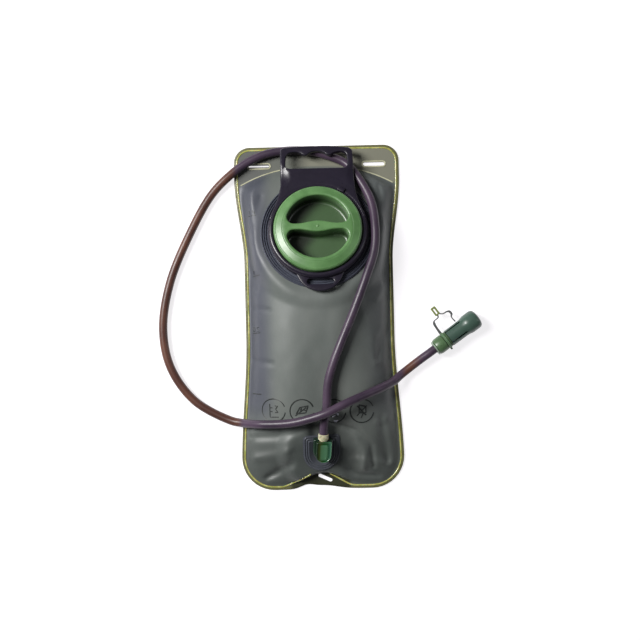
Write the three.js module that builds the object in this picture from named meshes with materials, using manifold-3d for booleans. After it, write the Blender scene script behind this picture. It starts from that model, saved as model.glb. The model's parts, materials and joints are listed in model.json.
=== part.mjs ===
// A two-litre hydration bladder lying on its back: a welded film bag, a screw cap in a handled collar,
// a push-button hose port, the drinking hose and a bite valve under a dust cover.
// Millimetres, +Z up, +Y towards the handle. The origin is the middle of the bag's underside.
import * as THREE from 'three';
import * as BufferGeometryUtils from 'three/addons/utils/BufferGeometryUtils.js';
import Module from 'manifold-3d';

const wasm = await Module();
wasm.setup();

// Clearance left between pieces that touch on the real object.
const GAP = 0.3;

// Bag: two welded films, lying flat with some air and water inside.
const BAG_HALF_LENGTH = 185;
const WAIST_HALF_WIDTH = 80.1;
const TOP_WIDENING = 8.9;
const BOTTOM_WIDENING = 7.5;
const TOP_CORNER_RADIUS = 17;
const BOTTOM_CORNER_RADIUS = 35;
const FILM = 1;
const FILM_COLUMNS = 16;
const HEM_WIDTH = 5;
const HEM_TOP = 2 * FILM + GAP;
const BELLY_HEIGHT = 36.5;
const TOP_WELD_Y = 163;
const TOP_WELD_DROP = 20;
const BOTTOM_WELD_Y = -180;
const TAB_WELD_RISE = 13;
const TAB_HALF_WIDTH = 26;
const BOTTOM_NOTCH = 4;
const SIDE_NOTCH = 3.6;
const HANG_SLOT = { x: 62, y: 164.5, length: 23, width: 3.8 };
const TAB_SLOT = { x: 1.8, y: -173, length: 16, width: 3.8, turn: THREE.MathUtils.degToRad(-24) };

// Neck, collar and cap share one axis that leans towards the handle.
const NECK_CENTRE = new THREE.Vector3(0, 89, 25);
const NECK_LEAN = THREE.MathUtils.degToRad(13);
const FLANGE_RADIUS = 60.5;
const FLANGE_TOP = 2;
const RIDGE_RADII = [54.2, 56.7, 59.2];
const RIDGE_HEIGHT = 0.9;
const NECK_BORE_RADIUS = 38.3;
const NECK_RADIUS = 41;
const NECK_TOP = 15;
const THREAD_PITCH = 6;
const THREAD_WIDTH = 1.6;
const COLLAR_INNER_RADIUS = 47;
const COLLAR_RADIUS = 52.2;
const COLLAR_TOP = 13.3;
const HANDLE_BOTTOM = 8.8;
const HANDLE_TOP = 13.3;
const HANDLE_END_Y = 93;
const HANDLE_HALF_WIDTH = 38.3;
const CAP_RADIUS = 46;
const CAP_INNER_RADIUS = 44;
const CAP_SKIRT_BOTTOM = 6;
const CAP_TOP = 20.2;
const CAP_DECK = 17.8;
const POCKET_RADIUS = 34;
const POCKET_FLOOR = 0.6;
const CUP_WALL = 1.8;
const BAR_CENTRE_Y = 1;
const BAR_HALF_MIDDLE = 6;
const BAR_HALF_NECK = 3.2;
const BAR_NECK_X = 21;
const POCKET_CORNER_RADIUS = 7.2;

// Hose port: a welded flange, a socket housing and a button with a latch yoke.
const PORT_CENTRE = new THREE.Vector3(-1.6, -143.3, 17);
const PORT_PITCH = THREE.MathUtils.degToRad(14);
const PORT_ROLL = THREE.MathUtils.degToRad(8);
const SOCKET_YAW = THREE.MathUtils.degToRad(-4);
const PORT_FLANGE_HALF_WIDTH = 19.8;
const PORT_FLANGE_HALF_LENGTH = 20.3;
const PORT_FLANGE_TOP = 1.7;
const HOUSING_SHIFT_Y = 6.2;
const HOUSING_SOUTH = -11;
const HOUSING_NORTH = 12;
const PLINTH_TOP = 9.6;
const PLINTH_HALF_WIDTH = 9.9;
const BLOCK_TOP = 14;
const BLOCK_HALF_WIDTH = 6.8;
const BUTTON_HALF_WIDTH = 8.1;
const BUTTON_BOTTOM = 11.6;
const BUTTON_UNDERSIDE = 15.7;
const BUTTON_TOP = 17.2;
const SOCKET_AXIS_Z = 8.5;
const SOCKET_RADIUS = 4.6;
const SOCKET_END_Y = -4.5;
const PLUG_RADIUS = 4.2;
const PLUG_COLLAR_RADIUS = 5.5;
const PLUG_END_Y = 18.1;
const LATCH_Y = [9.5, 10.7];

// Hose and bite valve.
const HOSE_RADIUS = 4.5;
const HOSE_SIDES = 10;
const HOSE_STEPS = 66;
const VALVE_CENTRE = new THREE.Vector3(122.2, -36.3, 10.9);
const VALVE_TURN = THREE.MathUtils.degToRad(35.5);
const VALVE_SOCKET_DEPTH = 6;
const COVER_START = 18.4;
const COVER_END = 57;
const COVER_RADIUS_START = 9.3;
const COVER_RADIUS_END = 10.7;
const COVER_WALL = 1.2;
const COVER_SLOT = { length: 20, width: 2.4 };
const TETHER_THICKNESS = 2.2;

const FINISH = {
  film: { color: 0x6d726f, roughness: 0.45, metalness: 0 },
  flange: { color: 0x3d3f4d, roughness: 0.5, metalness: 0 },
  collar: { color: 0x2d2a36, roughness: 0.42, metalness: 0 },
  cap: { color: 0x67955c, roughness: 0.4, metalness: 0 },
  gasket: { color: 0xd8d8d2, roughness: 0.7, metalness: 0 },
  port: { color: 0x2a4f2c, roughness: 0.25, metalness: 0 },
  button: { color: 0x2c5a30, roughness: 0.12, metalness: 0 },
  plug: { color: 0xcfc9a6, roughness: 0.4, metalness: 0 },
  rubber: { color: 0x17181a, roughness: 0.8, metalness: 0 },
  steel: { color: 0xb9bcc0, roughness: 0.3, metalness: 1 },
  hose: { color: 0x4f3b3f, roughness: 0.35, metalness: 0 },
  valve: { color: 0x587357, roughness: 0.45, metalness: 0 },
  cover: { color: 0x475c54, roughness: 0.42, metalness: 0 },
  tether: { color: 0x8f9a6a, roughness: 0.4, metalness: 0 },
  silicone: { color: 0xc9d6cf, roughness: 0.55, metalness: 0 },
};

// ---------------------------------------------------------------- solids

function toManifold(geometry) {
  const bare = geometry.clone();
  bare.deleteAttribute('normal');
  bare.deleteAttribute('uv');
  const merged = BufferGeometryUtils.mergeVertices(bare, 1e-4);
  return new wasm.Manifold(new wasm.Mesh({
    numProp: 3,
    vertProperties: new Float32Array(merged.attributes.position.array),
    triVerts: new Uint32Array(merged.index.array),
  }));
}

function toGeometry(solid) {
  const mesh = solid.getMesh();
  const geometry = new THREE.BufferGeometry();
  geometry.setAttribute('position', new THREE.BufferAttribute(new Float32Array(mesh.vertProperties), 3));
  geometry.setIndex(new THREE.BufferAttribute(new Uint32Array(mesh.triVerts), 1));
  geometry.computeVertexNormals();
  return geometry;
}

function cut(base, ...tools) {
  let solid = toManifold(base);
  for (const tool of tools) {
    solid = solid.subtract(toManifold(tool));
  }
  return toGeometry(solid);
}

function join(base, ...others) {
  let solid = toManifold(base);
  for (const other of others) {
    solid = solid.add(toManifold(other));
  }
  return toGeometry(solid);
}

function revolve(profile, segments = 48) {
  const points = profile.map(([radius, height]) => new THREE.Vector2(radius, height));
  return new THREE.LatheGeometry(points, segments).rotateX(Math.PI / 2);
}

function revolveAlongX(profile, segments = 24) {
  return revolve(profile, segments).rotateY(Math.PI / 2);
}

function revolveAlongY(profile, segments = 18) {
  return revolve(profile, segments).rotateX(-Math.PI / 2);
}

function disc(radius, bottom, top, segments = 48) {
  return revolve([[0, bottom], [radius, bottom], [radius, top], [0, top]], segments);
}

function plate(shape, bottom, top, curveSegments = 12) {
  const options = { depth: top - bottom, bevelEnabled: false, curveSegments };
  return new THREE.ExtrudeGeometry(shape, options).translate(0, 0, bottom);
}

function box(low, high) {
  const size = high.map((value, axis) => value - low[axis]);
  const middle = high.map((value, axis) => (value + low[axis]) / 2);
  return new THREE.BoxGeometry(...size).translate(...middle);
}

// A slot with round ends, lying along X.
function slotShape(x, y, length, width) {
  const radius = width / 2;
  const reach = length / 2 - radius;
  const shape = new THREE.Shape();
  shape.absarc(x + reach, y, radius, -Math.PI / 2, Math.PI / 2, false);
  shape.absarc(x - reach, y, radius, Math.PI / 2, 1.5 * Math.PI, false);
  shape.closePath();
  return shape;
}

function circleShape(radius) {
  const shape = new THREE.Shape();
  shape.absarc(0, 0, radius, 0, 2 * Math.PI, false);
  return shape;
}

// A round or flat section swept along a curve.
function sweep(curve, section, steps) {
  return new THREE.ExtrudeGeometry(section, { extrudePath: curve, steps, curveSegments: 5 });
}

function polygonSection(radius, sides) {
  const points = [];
  for (let side = 0; side < sides; side += 1) {
    const angle = (2 * Math.PI * side) / sides;
    points.push(new THREE.Vector2(radius * Math.cos(angle), radius * Math.sin(angle)));
  }
  return new THREE.Shape(points);
}

class Helix extends THREE.Curve {
  constructor(radius, start, pitch, turns) {
    super();
    Object.assign(this, { radius, start, pitch, turns });
  }

  getPoint(t, target = new THREE.Vector3()) {
    const angle = 2 * Math.PI * this.turns * t;
    const height = this.start + this.pitch * this.turns * t;
    return target.set(this.radius * Math.cos(angle), this.radius * Math.sin(angle), height);
  }
}

// A screw-thread ridge, as a closed strip of quads between an inner and an outer radius.
function threadRidge(innerRadius, outerRadius, start, turns, phase) {
  const stepsPerTurn = 24;
  const steps = Math.round(turns * stepsPerTurn);
  const positions = [];
  const index = [];
  for (let step = 0; step <= steps; step += 1) {
    const angle = phase + (2 * Math.PI * step) / stepsPerTurn;
    const height = start + (THREAD_PITCH * step) / stepsPerTurn;
    const corners = [
      [innerRadius, -0.75],
      [outerRadius, -0.35],
      [outerRadius, 0.35],
      [innerRadius, 0.75],
    ];
    for (const [radius, side] of corners) {
      const z = height + side * THREAD_WIDTH / 1.5;
      positions.push(radius * Math.cos(angle), radius * Math.sin(angle), z);
    }
  }
  const quad = (a, b, c, d) => index.push(a, b, c, a, c, d);
  const flip = outerRadius > innerRadius;
  for (let step = 0; step < steps; step += 1) {
    for (let side = 0; side < 4; side += 1) {
      const a = step * 4 + side;
      const b = step * 4 + ((side + 1) % 4);
      if (flip) quad(a, a + 4, b + 4, b);
      else quad(a, b, b + 4, a + 4);
    }
  }
  const last = steps * 4;
  if (flip) {
    quad(0, 1, 2, 3);
    quad(last + 3, last + 2, last + 1, last);
  } else {
    quad(3, 2, 1, 0);
    quad(last, last + 1, last + 2, last + 3);
  }
  const geometry = new THREE.BufferGeometry();
  geometry.setAttribute('position', new THREE.Float32BufferAttribute(positions, 3));
  geometry.setIndex(index);
  return geometry;
}

// ---------------------------------------------------------------- bag

function clamp01(value) {
  return Math.min(1, Math.max(0, value));
}

function smooth(value) {
  const t = clamp01(value);
  return t * t * (3 - 2 * t);
}

// Half the bag's width at a height y, without its round corners.
function sideHalfWidth(y) {
  return WAIST_HALF_WIDTH + TOP_WIDENING * smooth((y - 60) / 90)
    + BOTTOM_WIDENING * smooth((-20 - y) / 140);
}

function halfWidth(y) {
  const topStart = BAG_HALF_LENGTH - TOP_CORNER_RADIUS;
  const bottomStart = -BAG_HALF_LENGTH + BOTTOM_CORNER_RADIUS;
  if (y > topStart) {
    const rise = y - topStart;
    return sideHalfWidth(topStart) - TOP_CORNER_RADIUS
      + Math.sqrt(Math.max(0, TOP_CORNER_RADIUS ** 2 - rise ** 2));
  }
  if (y < bottomStart) {
    const drop = bottomStart - y;
    return sideHalfWidth(bottomStart) - BOTTOM_CORNER_RADIUS
      + Math.sqrt(Math.max(0, BOTTOM_CORNER_RADIUS ** 2 - drop ** 2));
  }
  return sideHalfWidth(y);
}

// The bottom hem draws in at its middle, where the tab is, and more to the left of it.
function notchedY(x, y) {
  const low = clamp01((-150 - y) / 35);
  return y + BOTTOM_NOTCH * low * Math.exp(-((x / 20) ** 2))
    + SIDE_NOTCH * low ** 2 * Math.exp(-(((x + 18) / 9.5) ** 2));
}

function topWeld(x) {
  return TOP_WELD_Y - TOP_WELD_DROP * (Math.abs(x) / 84) ** 2.4;
}

function bottomWeld(x) {
  return BOTTOM_WELD_Y + TAB_WELD_RISE * Math.exp(-((x / TAB_HALF_WIDTH) ** 2));
}

function endRise(distance, reach) {
  return (1 - (1 - clamp01(distance / reach)) ** 2) ** 0.75;
}

// Height of the outside of the front film above the table.
function filmTop(x, y) {
  const fromTop = topWeld(x) - y;
  const fromBottom = y - bottomWeld(x);
  const fromSide = halfWidth(y) - HEM_WIDTH - Math.abs(x);
  if (Math.min(fromTop, fromBottom, fromSide) <= 0) return HEM_TOP;
  const across = Math.abs(x) / (halfWidth(y) - HEM_WIDTH);
  const crown = (1 - across ** 2.6) ** 0.8;
  let height = BELLY_HEIGHT * crown * endRise(fromBottom, 190) * endRise(fromTop, 40);
  const neckDistance = Math.hypot(x - NECK_CENTRE.x, (y - NECK_CENTRE.y) / Math.cos(NECK_LEAN));
  const neckPlane = NECK_CENTRE.z - (y - NECK_CENTRE.y) * Math.tan(NECK_LEAN) - HEM_TOP;
  if (y > NECK_CENTRE.y) height = Math.min(height, neckPlane);
  height = THREE.MathUtils.lerp(neckPlane, height, smooth((neckDistance - 64) / 20));
  const portDistance = Math.hypot(x - PORT_CENTRE.x, y - PORT_CENTRE.y);
  const portPlane = PORT_CENTRE.z + (y - PORT_CENTRE.y) * Math.tan(PORT_PITCH)
    - (x - PORT_CENTRE.x) * Math.tan(PORT_ROLL) / Math.cos(PORT_PITCH) - HEM_TOP;
  height = THREE.MathUtils.lerp(portPlane, height, smooth((portDistance - 34) / 16));
  const fromEdge = Math.min(fromSide / 11, fromTop / 16, fromBottom / 2.8);
  const fade = 1 - (1 - clamp01(fromEdge)) ** 2.5;
  return HEM_TOP + height * fade;
}

function bagOutline() {
  const points = [];
  const rows = [];
  for (let angle = 0; angle <= 90; angle += 15) {
    const radians = THREE.MathUtils.degToRad(angle);
    rows.push(-BAG_HALF_LENGTH + BOTTOM_CORNER_RADIUS * (1 - Math.cos(radians)));
  }
  for (let y = -135; y < 165; y += 15) rows.push(y);
  for (let angle = 90; angle >= 0; angle -= 15) {
    const radians = THREE.MathUtils.degToRad(angle);
    rows.push(BAG_HALF_LENGTH - TOP_CORNER_RADIUS * (1 - Math.cos(radians)));
  }
  for (const y of rows) points.push(new THREE.Vector2(halfWidth(y), y));
  for (const y of rows.reverse()) points.push(new THREE.Vector2(-halfWidth(y), y));
  for (let x = -48; x <= 48; x += 6) {
    points.push(new THREE.Vector2(x, notchedY(x, -BAG_HALF_LENGTH)));
  }
  return new THREE.Shape(points);
}

function slotTools(bottom, top) {
  const { x, y, length, width } = HANG_SLOT;
  const right = plate(slotShape(x, y, length, width), bottom, top, 6);
  const left = plate(slotShape(-x, y, length, width), bottom, top, 6);
  const tab = plate(slotShape(0, 0, TAB_SLOT.length, TAB_SLOT.width), bottom, top, 6)
    .rotateZ(TAB_SLOT.turn).translate(TAB_SLOT.x, TAB_SLOT.y, 0);
  return [right, left, tab];
}

function backPanel() {
  return cut(plate(bagOutline(), 0, FILM), ...slotTools(-1, HEM_TOP + 1));
}

// The front film: a grid that follows the outline, with an upper and a lower side.
function frontPanel() {
  const rows = [-185, -182.5, -180, -176, -171, -167, -161];
  for (let y = -153; y < 145; y += 11) rows.push(y);
  rows.push(149, 156, 163, 168, 176, 182, 185);
  const columns = [-1];
  for (let step = 0; step <= FILM_COLUMNS; step += 1) {
    columns.push(-Math.cos((Math.PI * step) / FILM_COLUMNS));
  }
  columns.push(1);
  const across = columns.length;
  const positions = [];
  for (const lift of [0, -FILM]) {
    for (const y of rows) {
      const outer = halfWidth(y);
      columns.forEach((fraction, column) => {
        const onEdge = column === 0 || column === across - 1;
        const x = fraction * (onEdge ? outer : outer - HEM_WIDTH);
        const rowY = notchedY(x, y);
        positions.push(x, rowY, filmTop(x, rowY) + lift);
      });
    }
  }
  const layer = rows.length * across;
  const index = [];
  const quad = (a, b, c, d) => index.push(a, b, c, a, c, d);
  for (let row = 0; row < rows.length - 1; row += 1) {
    for (let column = 0; column < across - 1; column += 1) {
      const a = row * across + column;
      quad(a, a + 1, a + across + 1, a + across);
      quad(layer + a, layer + a + across, layer + a + across + 1, layer + a + 1);
    }
    const left = row * across;
    const right = left + across - 1;
    quad(left, left + across, layer + left + across, layer + left);
    quad(right, layer + right, layer + right + across, right + across);
  }
  for (let column = 0; column < across - 1; column += 1) {
    const top = (rows.length - 1) * across + column;
    quad(column, layer + column, layer + column + 1, column + 1);
    quad(top, top + 1, layer + top + 1, layer + top);
  }
  const film = new THREE.BufferGeometry();
  film.setAttribute('position', new THREE.Float32BufferAttribute(positions, 3));
  film.setIndex(index);
  const neckHole = disc(NECK_BORE_RADIUS + 0.9, -12, 12, 48)
    .rotateX(-NECK_LEAN)
    .translate(NECK_CENTRE.x, NECK_CENTRE.y, NECK_CENTRE.z);
  const portHole = disc(2.8, -8, 8, 16).translate(0, HOUSING_SHIFT_Y - 1.5, 0)
    .rotateY(PORT_ROLL).rotateX(PORT_PITCH)
    .translate(PORT_CENTRE.x, PORT_CENTRE.y, PORT_CENTRE.z);
  return cut(film, neckHole, portHole, ...slotTools(-1, HEM_TOP + 1));
}

// ---------------------------------------------------------------- neck, collar and cap

function neckFlange() {
  const profile = [[NECK_BORE_RADIUS, GAP], [FLANGE_RADIUS, GAP], [FLANGE_RADIUS, FLANGE_TOP - 0.5]];
  for (const radius of [...RIDGE_RADII].reverse()) {
    profile.push([radius + 0.8, FLANGE_TOP]);
    profile.push([radius, FLANGE_TOP + RIDGE_HEIGHT]);
    profile.push([radius - 0.8, FLANGE_TOP]);
  }
  profile.push([NECK_RADIUS, FLANGE_TOP], [NECK_RADIUS, NECK_TOP], [NECK_BORE_RADIUS, NECK_TOP]);
  profile.push([NECK_BORE_RADIUS, GAP]);
  const thread = threadRidge(NECK_RADIUS - 0.4, 42.9, 4.2, 1.5, 0);
  return join(revolve(profile, 48), thread);
}

function fingerSlotShape() {
  const hole = new THREE.Path();
  hole.moveTo(-27.5, 67.6);
  hole.lineTo(27.5, 67.6);
  hole.quadraticCurveTo(32.8, 67.6, 32.8, 72.5);
  hole.lineTo(32.4, 81);
  hole.quadraticCurveTo(31.8, 86.2, 25.5, 86.2);
  hole.quadraticCurveTo(20.4, 86, 17.2, 83.8);
  hole.quadraticCurveTo(14, 80.8, 10.4, 83.4);
  hole.quadraticCurveTo(6.8, 87, 0.6, 87);
  hole.quadraticCurveTo(-5, 87, -8.4, 84);
  hole.quadraticCurveTo(-11.6, 81.2, -15, 83.8);
  hole.quadraticCurveTo(-18.4, 86.6, -22.5, 86.4);
  hole.quadraticCurveTo(-31.8, 86.4, -32.3, 79.5);
  hole.lineTo(-32.8, 72.5);
  hole.quadraticCurveTo(-32.8, 67.6, -27.5, 67.6);
  return hole;
}

function handleShape() {
  const shape = new THREE.Shape();
  shape.moveTo(-50.5, 12);
  shape.lineTo(50.5, 12);
  shape.quadraticCurveTo(41, 34, 40, 46);
  shape.lineTo(HANDLE_HALF_WIDTH + 0.4, 86);
  shape.quadraticCurveTo(HANDLE_HALF_WIDTH, 89.5, 33.5, 90.8);
  shape.quadraticCurveTo(16, HANDLE_END_Y + 0.6, 0, HANDLE_END_Y);
  shape.quadraticCurveTo(-16, HANDLE_END_Y + 0.6, -33.5, 91.8);
  shape.quadraticCurveTo(-HANDLE_HALF_WIDTH, 91, -HANDLE_HALF_WIDTH, 87);
  shape.lineTo(-HANDLE_HALF_WIDTH, 48);
  shape.quadraticCurveTo(-40.5, 34, -50.5, 12);
  shape.holes.push(fingerSlotShape());
  return shape;
}

function strapLoopShape() {
  const shape = new THREE.Shape();
  shape.moveTo(-24, -44);
  shape.quadraticCurveTo(-20, -56.5, -12, -61.5);
  shape.quadraticCurveTo(1.5, -69, 15, -61.5);
  shape.quadraticCurveTo(23, -56.5, 27, -43);
  shape.closePath();
  shape.holes.push(slotShape(1.5, -55, 28, 6));
  return shape;
}

function handleCollar() {
  const ring = revolve([
    [COLLAR_INNER_RADIUS, FLANGE_TOP + 0.4],
    [COLLAR_RADIUS, FLANGE_TOP + 0.4],
    [COLLAR_RADIUS, 9.6],
    [COLLAR_RADIUS - 1.4, 12.3],
    [COLLAR_RADIUS - 3, COLLAR_TOP],
    [COLLAR_INNER_RADIUS + 0.6, COLLAR_TOP],
    [COLLAR_INNER_RADIUS, COLLAR_TOP - 0.6],
    [COLLAR_INNER_RADIUS, FLANGE_TOP + 0.4],
  ], 52);
  const handle = plate(handleShape(), HANDLE_BOTTOM, HANDLE_TOP, 5);
  const loop = plate(strapLoopShape(), 5.2, 8.4, 8);
  const stopLug = box([-3.5, -2, 10], [3.5, 2, 14.6]).translate(0, 49.6, 0)
    .rotateZ(THREE.MathUtils.degToRad(-31));
  return cut(join(ring, handle, loop, stopLug), disc(COLLAR_INNER_RADIUS, -5, 25, 52));
}

// The grip bar's edge, measured from the bar's own centre line.
function barHalfWidth(x) {
  const wave = Math.cos((Math.PI * Math.min(Math.abs(x), BAR_NECK_X)) / BAR_NECK_X);
  return (BAR_HALF_MIDDLE + BAR_HALF_NECK) / 2 + ((BAR_HALF_MIDDLE - BAR_HALF_NECK) / 2) * wave;
}

// One finger pocket: a circle segment with round corners and a waved edge along the grip bar.
function pocketShape(side, inset) {
  const radius = POCKET_RADIUS - inset;
  const corner = POCKET_CORNER_RADIUS - inset;
  const baseLine = BAR_HALF_NECK + POCKET_CORNER_RADIUS;
  const cornerX = Math.sqrt((radius - corner) ** 2 - baseLine ** 2);
  const points = [];
  const startAngle = Math.atan2(baseLine, cornerX);
  for (let step = 0; step <= 16; step += 1) {
    const angle = startAngle + ((Math.PI - 2 * startAngle) * step) / 16;
    points.push([radius * Math.cos(angle), radius * Math.sin(angle)]);
  }
  for (let step = 1; step <= 5; step += 1) {
    const angle = Math.PI - startAngle + ((Math.PI / 2 + startAngle) * step) / 5;
    points.push([-cornerX + corner * Math.cos(angle), baseLine + corner * Math.sin(angle)]);
  }
  for (let x = -18; x <= 18; x += 4.5) {
    points.push([x, barHalfWidth(x) + inset]);
  }
  for (let step = 0; step < 5; step += 1) {
    const angle = -Math.PI / 2 + ((Math.PI / 2 + startAngle) * step) / 5;
    points.push([cornerX + corner * Math.cos(angle), baseLine + corner * Math.sin(angle)]);
  }
  return new THREE.Shape(points.map(([x, y]) => new THREE.Vector2(x, side * y + BAR_CENTRE_Y)));
}

// The hollow under the grip bar.
function barCoreShape() {
  const points = [];
  for (let x = -18; x <= 18; x += 6) points.push(new THREE.Vector2(x, BAR_CENTRE_Y - barHalfWidth(x) + 2));
  for (let x = 18; x >= -18; x -= 6) points.push(new THREE.Vector2(x, BAR_CENTRE_Y + barHalfWidth(x) - 2));
  return new THREE.Shape(points);
}

function capShell() {
  const skin = revolve([
    [0, CAP_DECK],
    [CAP_INNER_RADIUS, CAP_DECK],
    [CAP_INNER_RADIUS, CAP_SKIRT_BOTTOM],
    [CAP_RADIUS, CAP_SKIRT_BOTTOM],
    [CAP_RADIUS, 15.2],
    [CAP_RADIUS - 1.6, 17.4],
    [37.4, 20],
    [36.6, CAP_TOP],
    [0, CAP_TOP],
  ], 48);
  const cup = disc(POCKET_RADIUS + CUP_WALL, POCKET_FLOOR - CUP_WALL, CAP_DECK + 1, 48);
  const thread = threadRidge(CAP_INNER_RADIUS + 0.4, 42.4, 8.7, 1, Math.PI / 2);
  const pockets = [1, -1].map((side) => plate(pocketShape(side, 0), POCKET_FLOOR, CAP_TOP + 5));
  const core = plate(barCoreShape(), POCKET_FLOOR - CUP_WALL - 1, CAP_DECK - 0.5);
  return cut(join(skin, cup, thread), ...pockets, core);
}

function capGasket() {
  const bottom = NECK_TOP + GAP;
  const top = CAP_DECK - GAP;
  return revolve([[38.4, bottom], [41.8, bottom], [41.8, top], [38.4, top], [38.4, bottom]], 48);
}

// ---------------------------------------------------------------- hose port

// A U outline: straight sides, an elliptic south end and small corners at the north end.
function portFlangeShape(inset) {
  const half = PORT_FLANGE_HALF_WIDTH - inset;
  const north = PORT_FLANGE_HALF_LENGTH - inset;
  const south = PORT_FLANGE_HALF_LENGTH - inset;
  const shape = new THREE.Shape();
  shape.moveTo(half, 0);
  shape.lineTo(half, north - 5);
  shape.quadraticCurveTo(half, north, half - 5, north);
  shape.lineTo(-half + 5, north);
  shape.quadraticCurveTo(-half, north, -half, north - 5);
  shape.lineTo(-half, 0);
  shape.absellipse(0, 0, half, south, Math.PI, 2 * Math.PI, false);
  return shape;
}

function portFlange() {
  const steps = [0, 2.4, 4.8].map((inset, level) => (
    plate(portFlangeShape(inset), GAP, 0.9 + 0.4 * level, 8)
  ));
  const outlet = disc(2.5, -1, 4, 16).translate(0, HOUSING_SHIFT_Y - 1.5, 0);
  return cut(join(...steps), outlet);
}

// A bar outline with a flat north end and a round south end.
function bullnoseShape(halfWidthX, north, south) {
  const shape = new THREE.Shape();
  shape.moveTo(halfWidthX, north);
  shape.lineTo(-halfWidthX, north);
  shape.lineTo(-halfWidthX, south + halfWidthX);
  shape.absarc(0, south + halfWidthX, halfWidthX, Math.PI, 2 * Math.PI, false);
  shape.closePath();
  return shape;
}

function portHousing() {
  const base = PORT_FLANGE_TOP + GAP;
  const plinth = plate(bullnoseShape(PLINTH_HALF_WIDTH, HOUSING_NORTH, HOUSING_SOUTH), base, PLINTH_TOP, 8);
  const block = plate(bullnoseShape(BLOCK_HALF_WIDTH, HOUSING_NORTH, HOUSING_SOUTH + 1.6), base, BLOCK_TOP, 8);
  const length = HOUSING_NORTH + 1 - SOCKET_END_Y;
  const socket = new THREE.CylinderGeometry(SOCKET_RADIUS, SOCKET_RADIUS, length, 24)
    .translate(0, SOCKET_END_Y + length / 2, SOCKET_AXIS_Z);
  const outlet = disc(2.5, -1, SOCKET_AXIS_Z, 16).translate(0, -1.5, 0);
  const springWell = disc(1.9, 4, BLOCK_TOP + 1, 16).translate(0, -7, 0);
  const yokeSlot = box([-7.3, LATCH_Y[0] - GAP, base - 0.5], [7.3, LATCH_Y[1] + GAP, BLOCK_TOP + 1]);
  return cut(join(plinth, block), socket, outlet, springWell, yokeSlot);
}

function releaseButton() {
  const lid = plate(bullnoseShape(BUTTON_HALF_WIDTH, HOUSING_NORTH, HOUSING_SOUTH), BUTTON_BOTTOM, BUTTON_TOP, 8);
  const hollow = plate(
    bullnoseShape(BUTTON_HALF_WIDTH - 1, HOUSING_NORTH + 1, HOUSING_SOUTH + 1),
    BUTTON_BOTTOM - 1,
    BUTTON_UNDERSIDE,
    8,
  );
  const yoke = box([-7, LATCH_Y[0], 3.6], [7, LATCH_Y[1], BUTTON_UNDERSIDE + 0.5]);
  const windowShape = slotShape(0, 0, 9.6, 9.2);
  const window = plate(windowShape, -2, 2, 8).rotateY(Math.PI / 2).rotateZ(Math.PI / 2)
    .translate(0, (LATCH_Y[0] + LATCH_Y[1]) / 2, 9.8);
  return join(cut(lid, hollow), cut(yoke, window));
}

function buttonSpring() {
  const helix = new Helix(1.3, 4.6, 1.9, 5.5);
  return sweep(helix, polygonSection(0.25, 5), 50).translate(0, -7, 0);
}

function portPoppet() {
  return revolveAlongY([[0, 0.2], [3.9, 0.2], [3.9, 1.2], [2.6, 1.5], [0, 1.5]])
    .translate(0, 0, SOCKET_AXIS_Z);
}

function poppetSpring() {
  const helix = new Helix(3.2, 0, 1.15, 3.3);
  return sweep(helix, polygonSection(0.28, 5), 34).rotateX(Math.PI / 2)
    .translate(0, -0.2, SOCKET_AXIS_Z);
}

function hosePlug() {
  const bore = 2;
  const profile = [
    [bore, 2], [PLUG_RADIUS - 0.6, 2], [PLUG_RADIUS, 2.8], [PLUG_RADIUS, 4], [3.1, 4], [3.1, 5.9],
    [PLUG_RADIUS, 5.9], [PLUG_RADIUS, 9.1], [3.1, 9.1], [3.1, 11.1], [PLUG_RADIUS, 11.1],
    [PLUG_RADIUS, HOUSING_NORTH + GAP], [PLUG_COLLAR_RADIUS, HOUSING_NORTH + GAP],
    [PLUG_COLLAR_RADIUS, 13.9], [PLUG_COLLAR_RADIUS - 0.6, 14.2], [PLUG_COLLAR_RADIUS - 0.6, 15],
    [PLUG_COLLAR_RADIUS, 15.3], [PLUG_COLLAR_RADIUS, 16.9], [PLUG_COLLAR_RADIUS - 0.8, PLUG_END_Y],
    [bore, PLUG_END_Y], [bore, 2],
  ];
  return revolveAlongY(profile).translate(0, 0, SOCKET_AXIS_Z);
}

function plugRing() {
  return revolveAlongY([[3.4, 4.3], [4.3, 4.3], [4.35, 4.9], [4.3, 5.6], [3.4, 5.6], [3.4, 4.3]])
    .translate(0, 0, SOCKET_AXIS_Z);
}

// ---------------------------------------------------------------- hose

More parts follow.
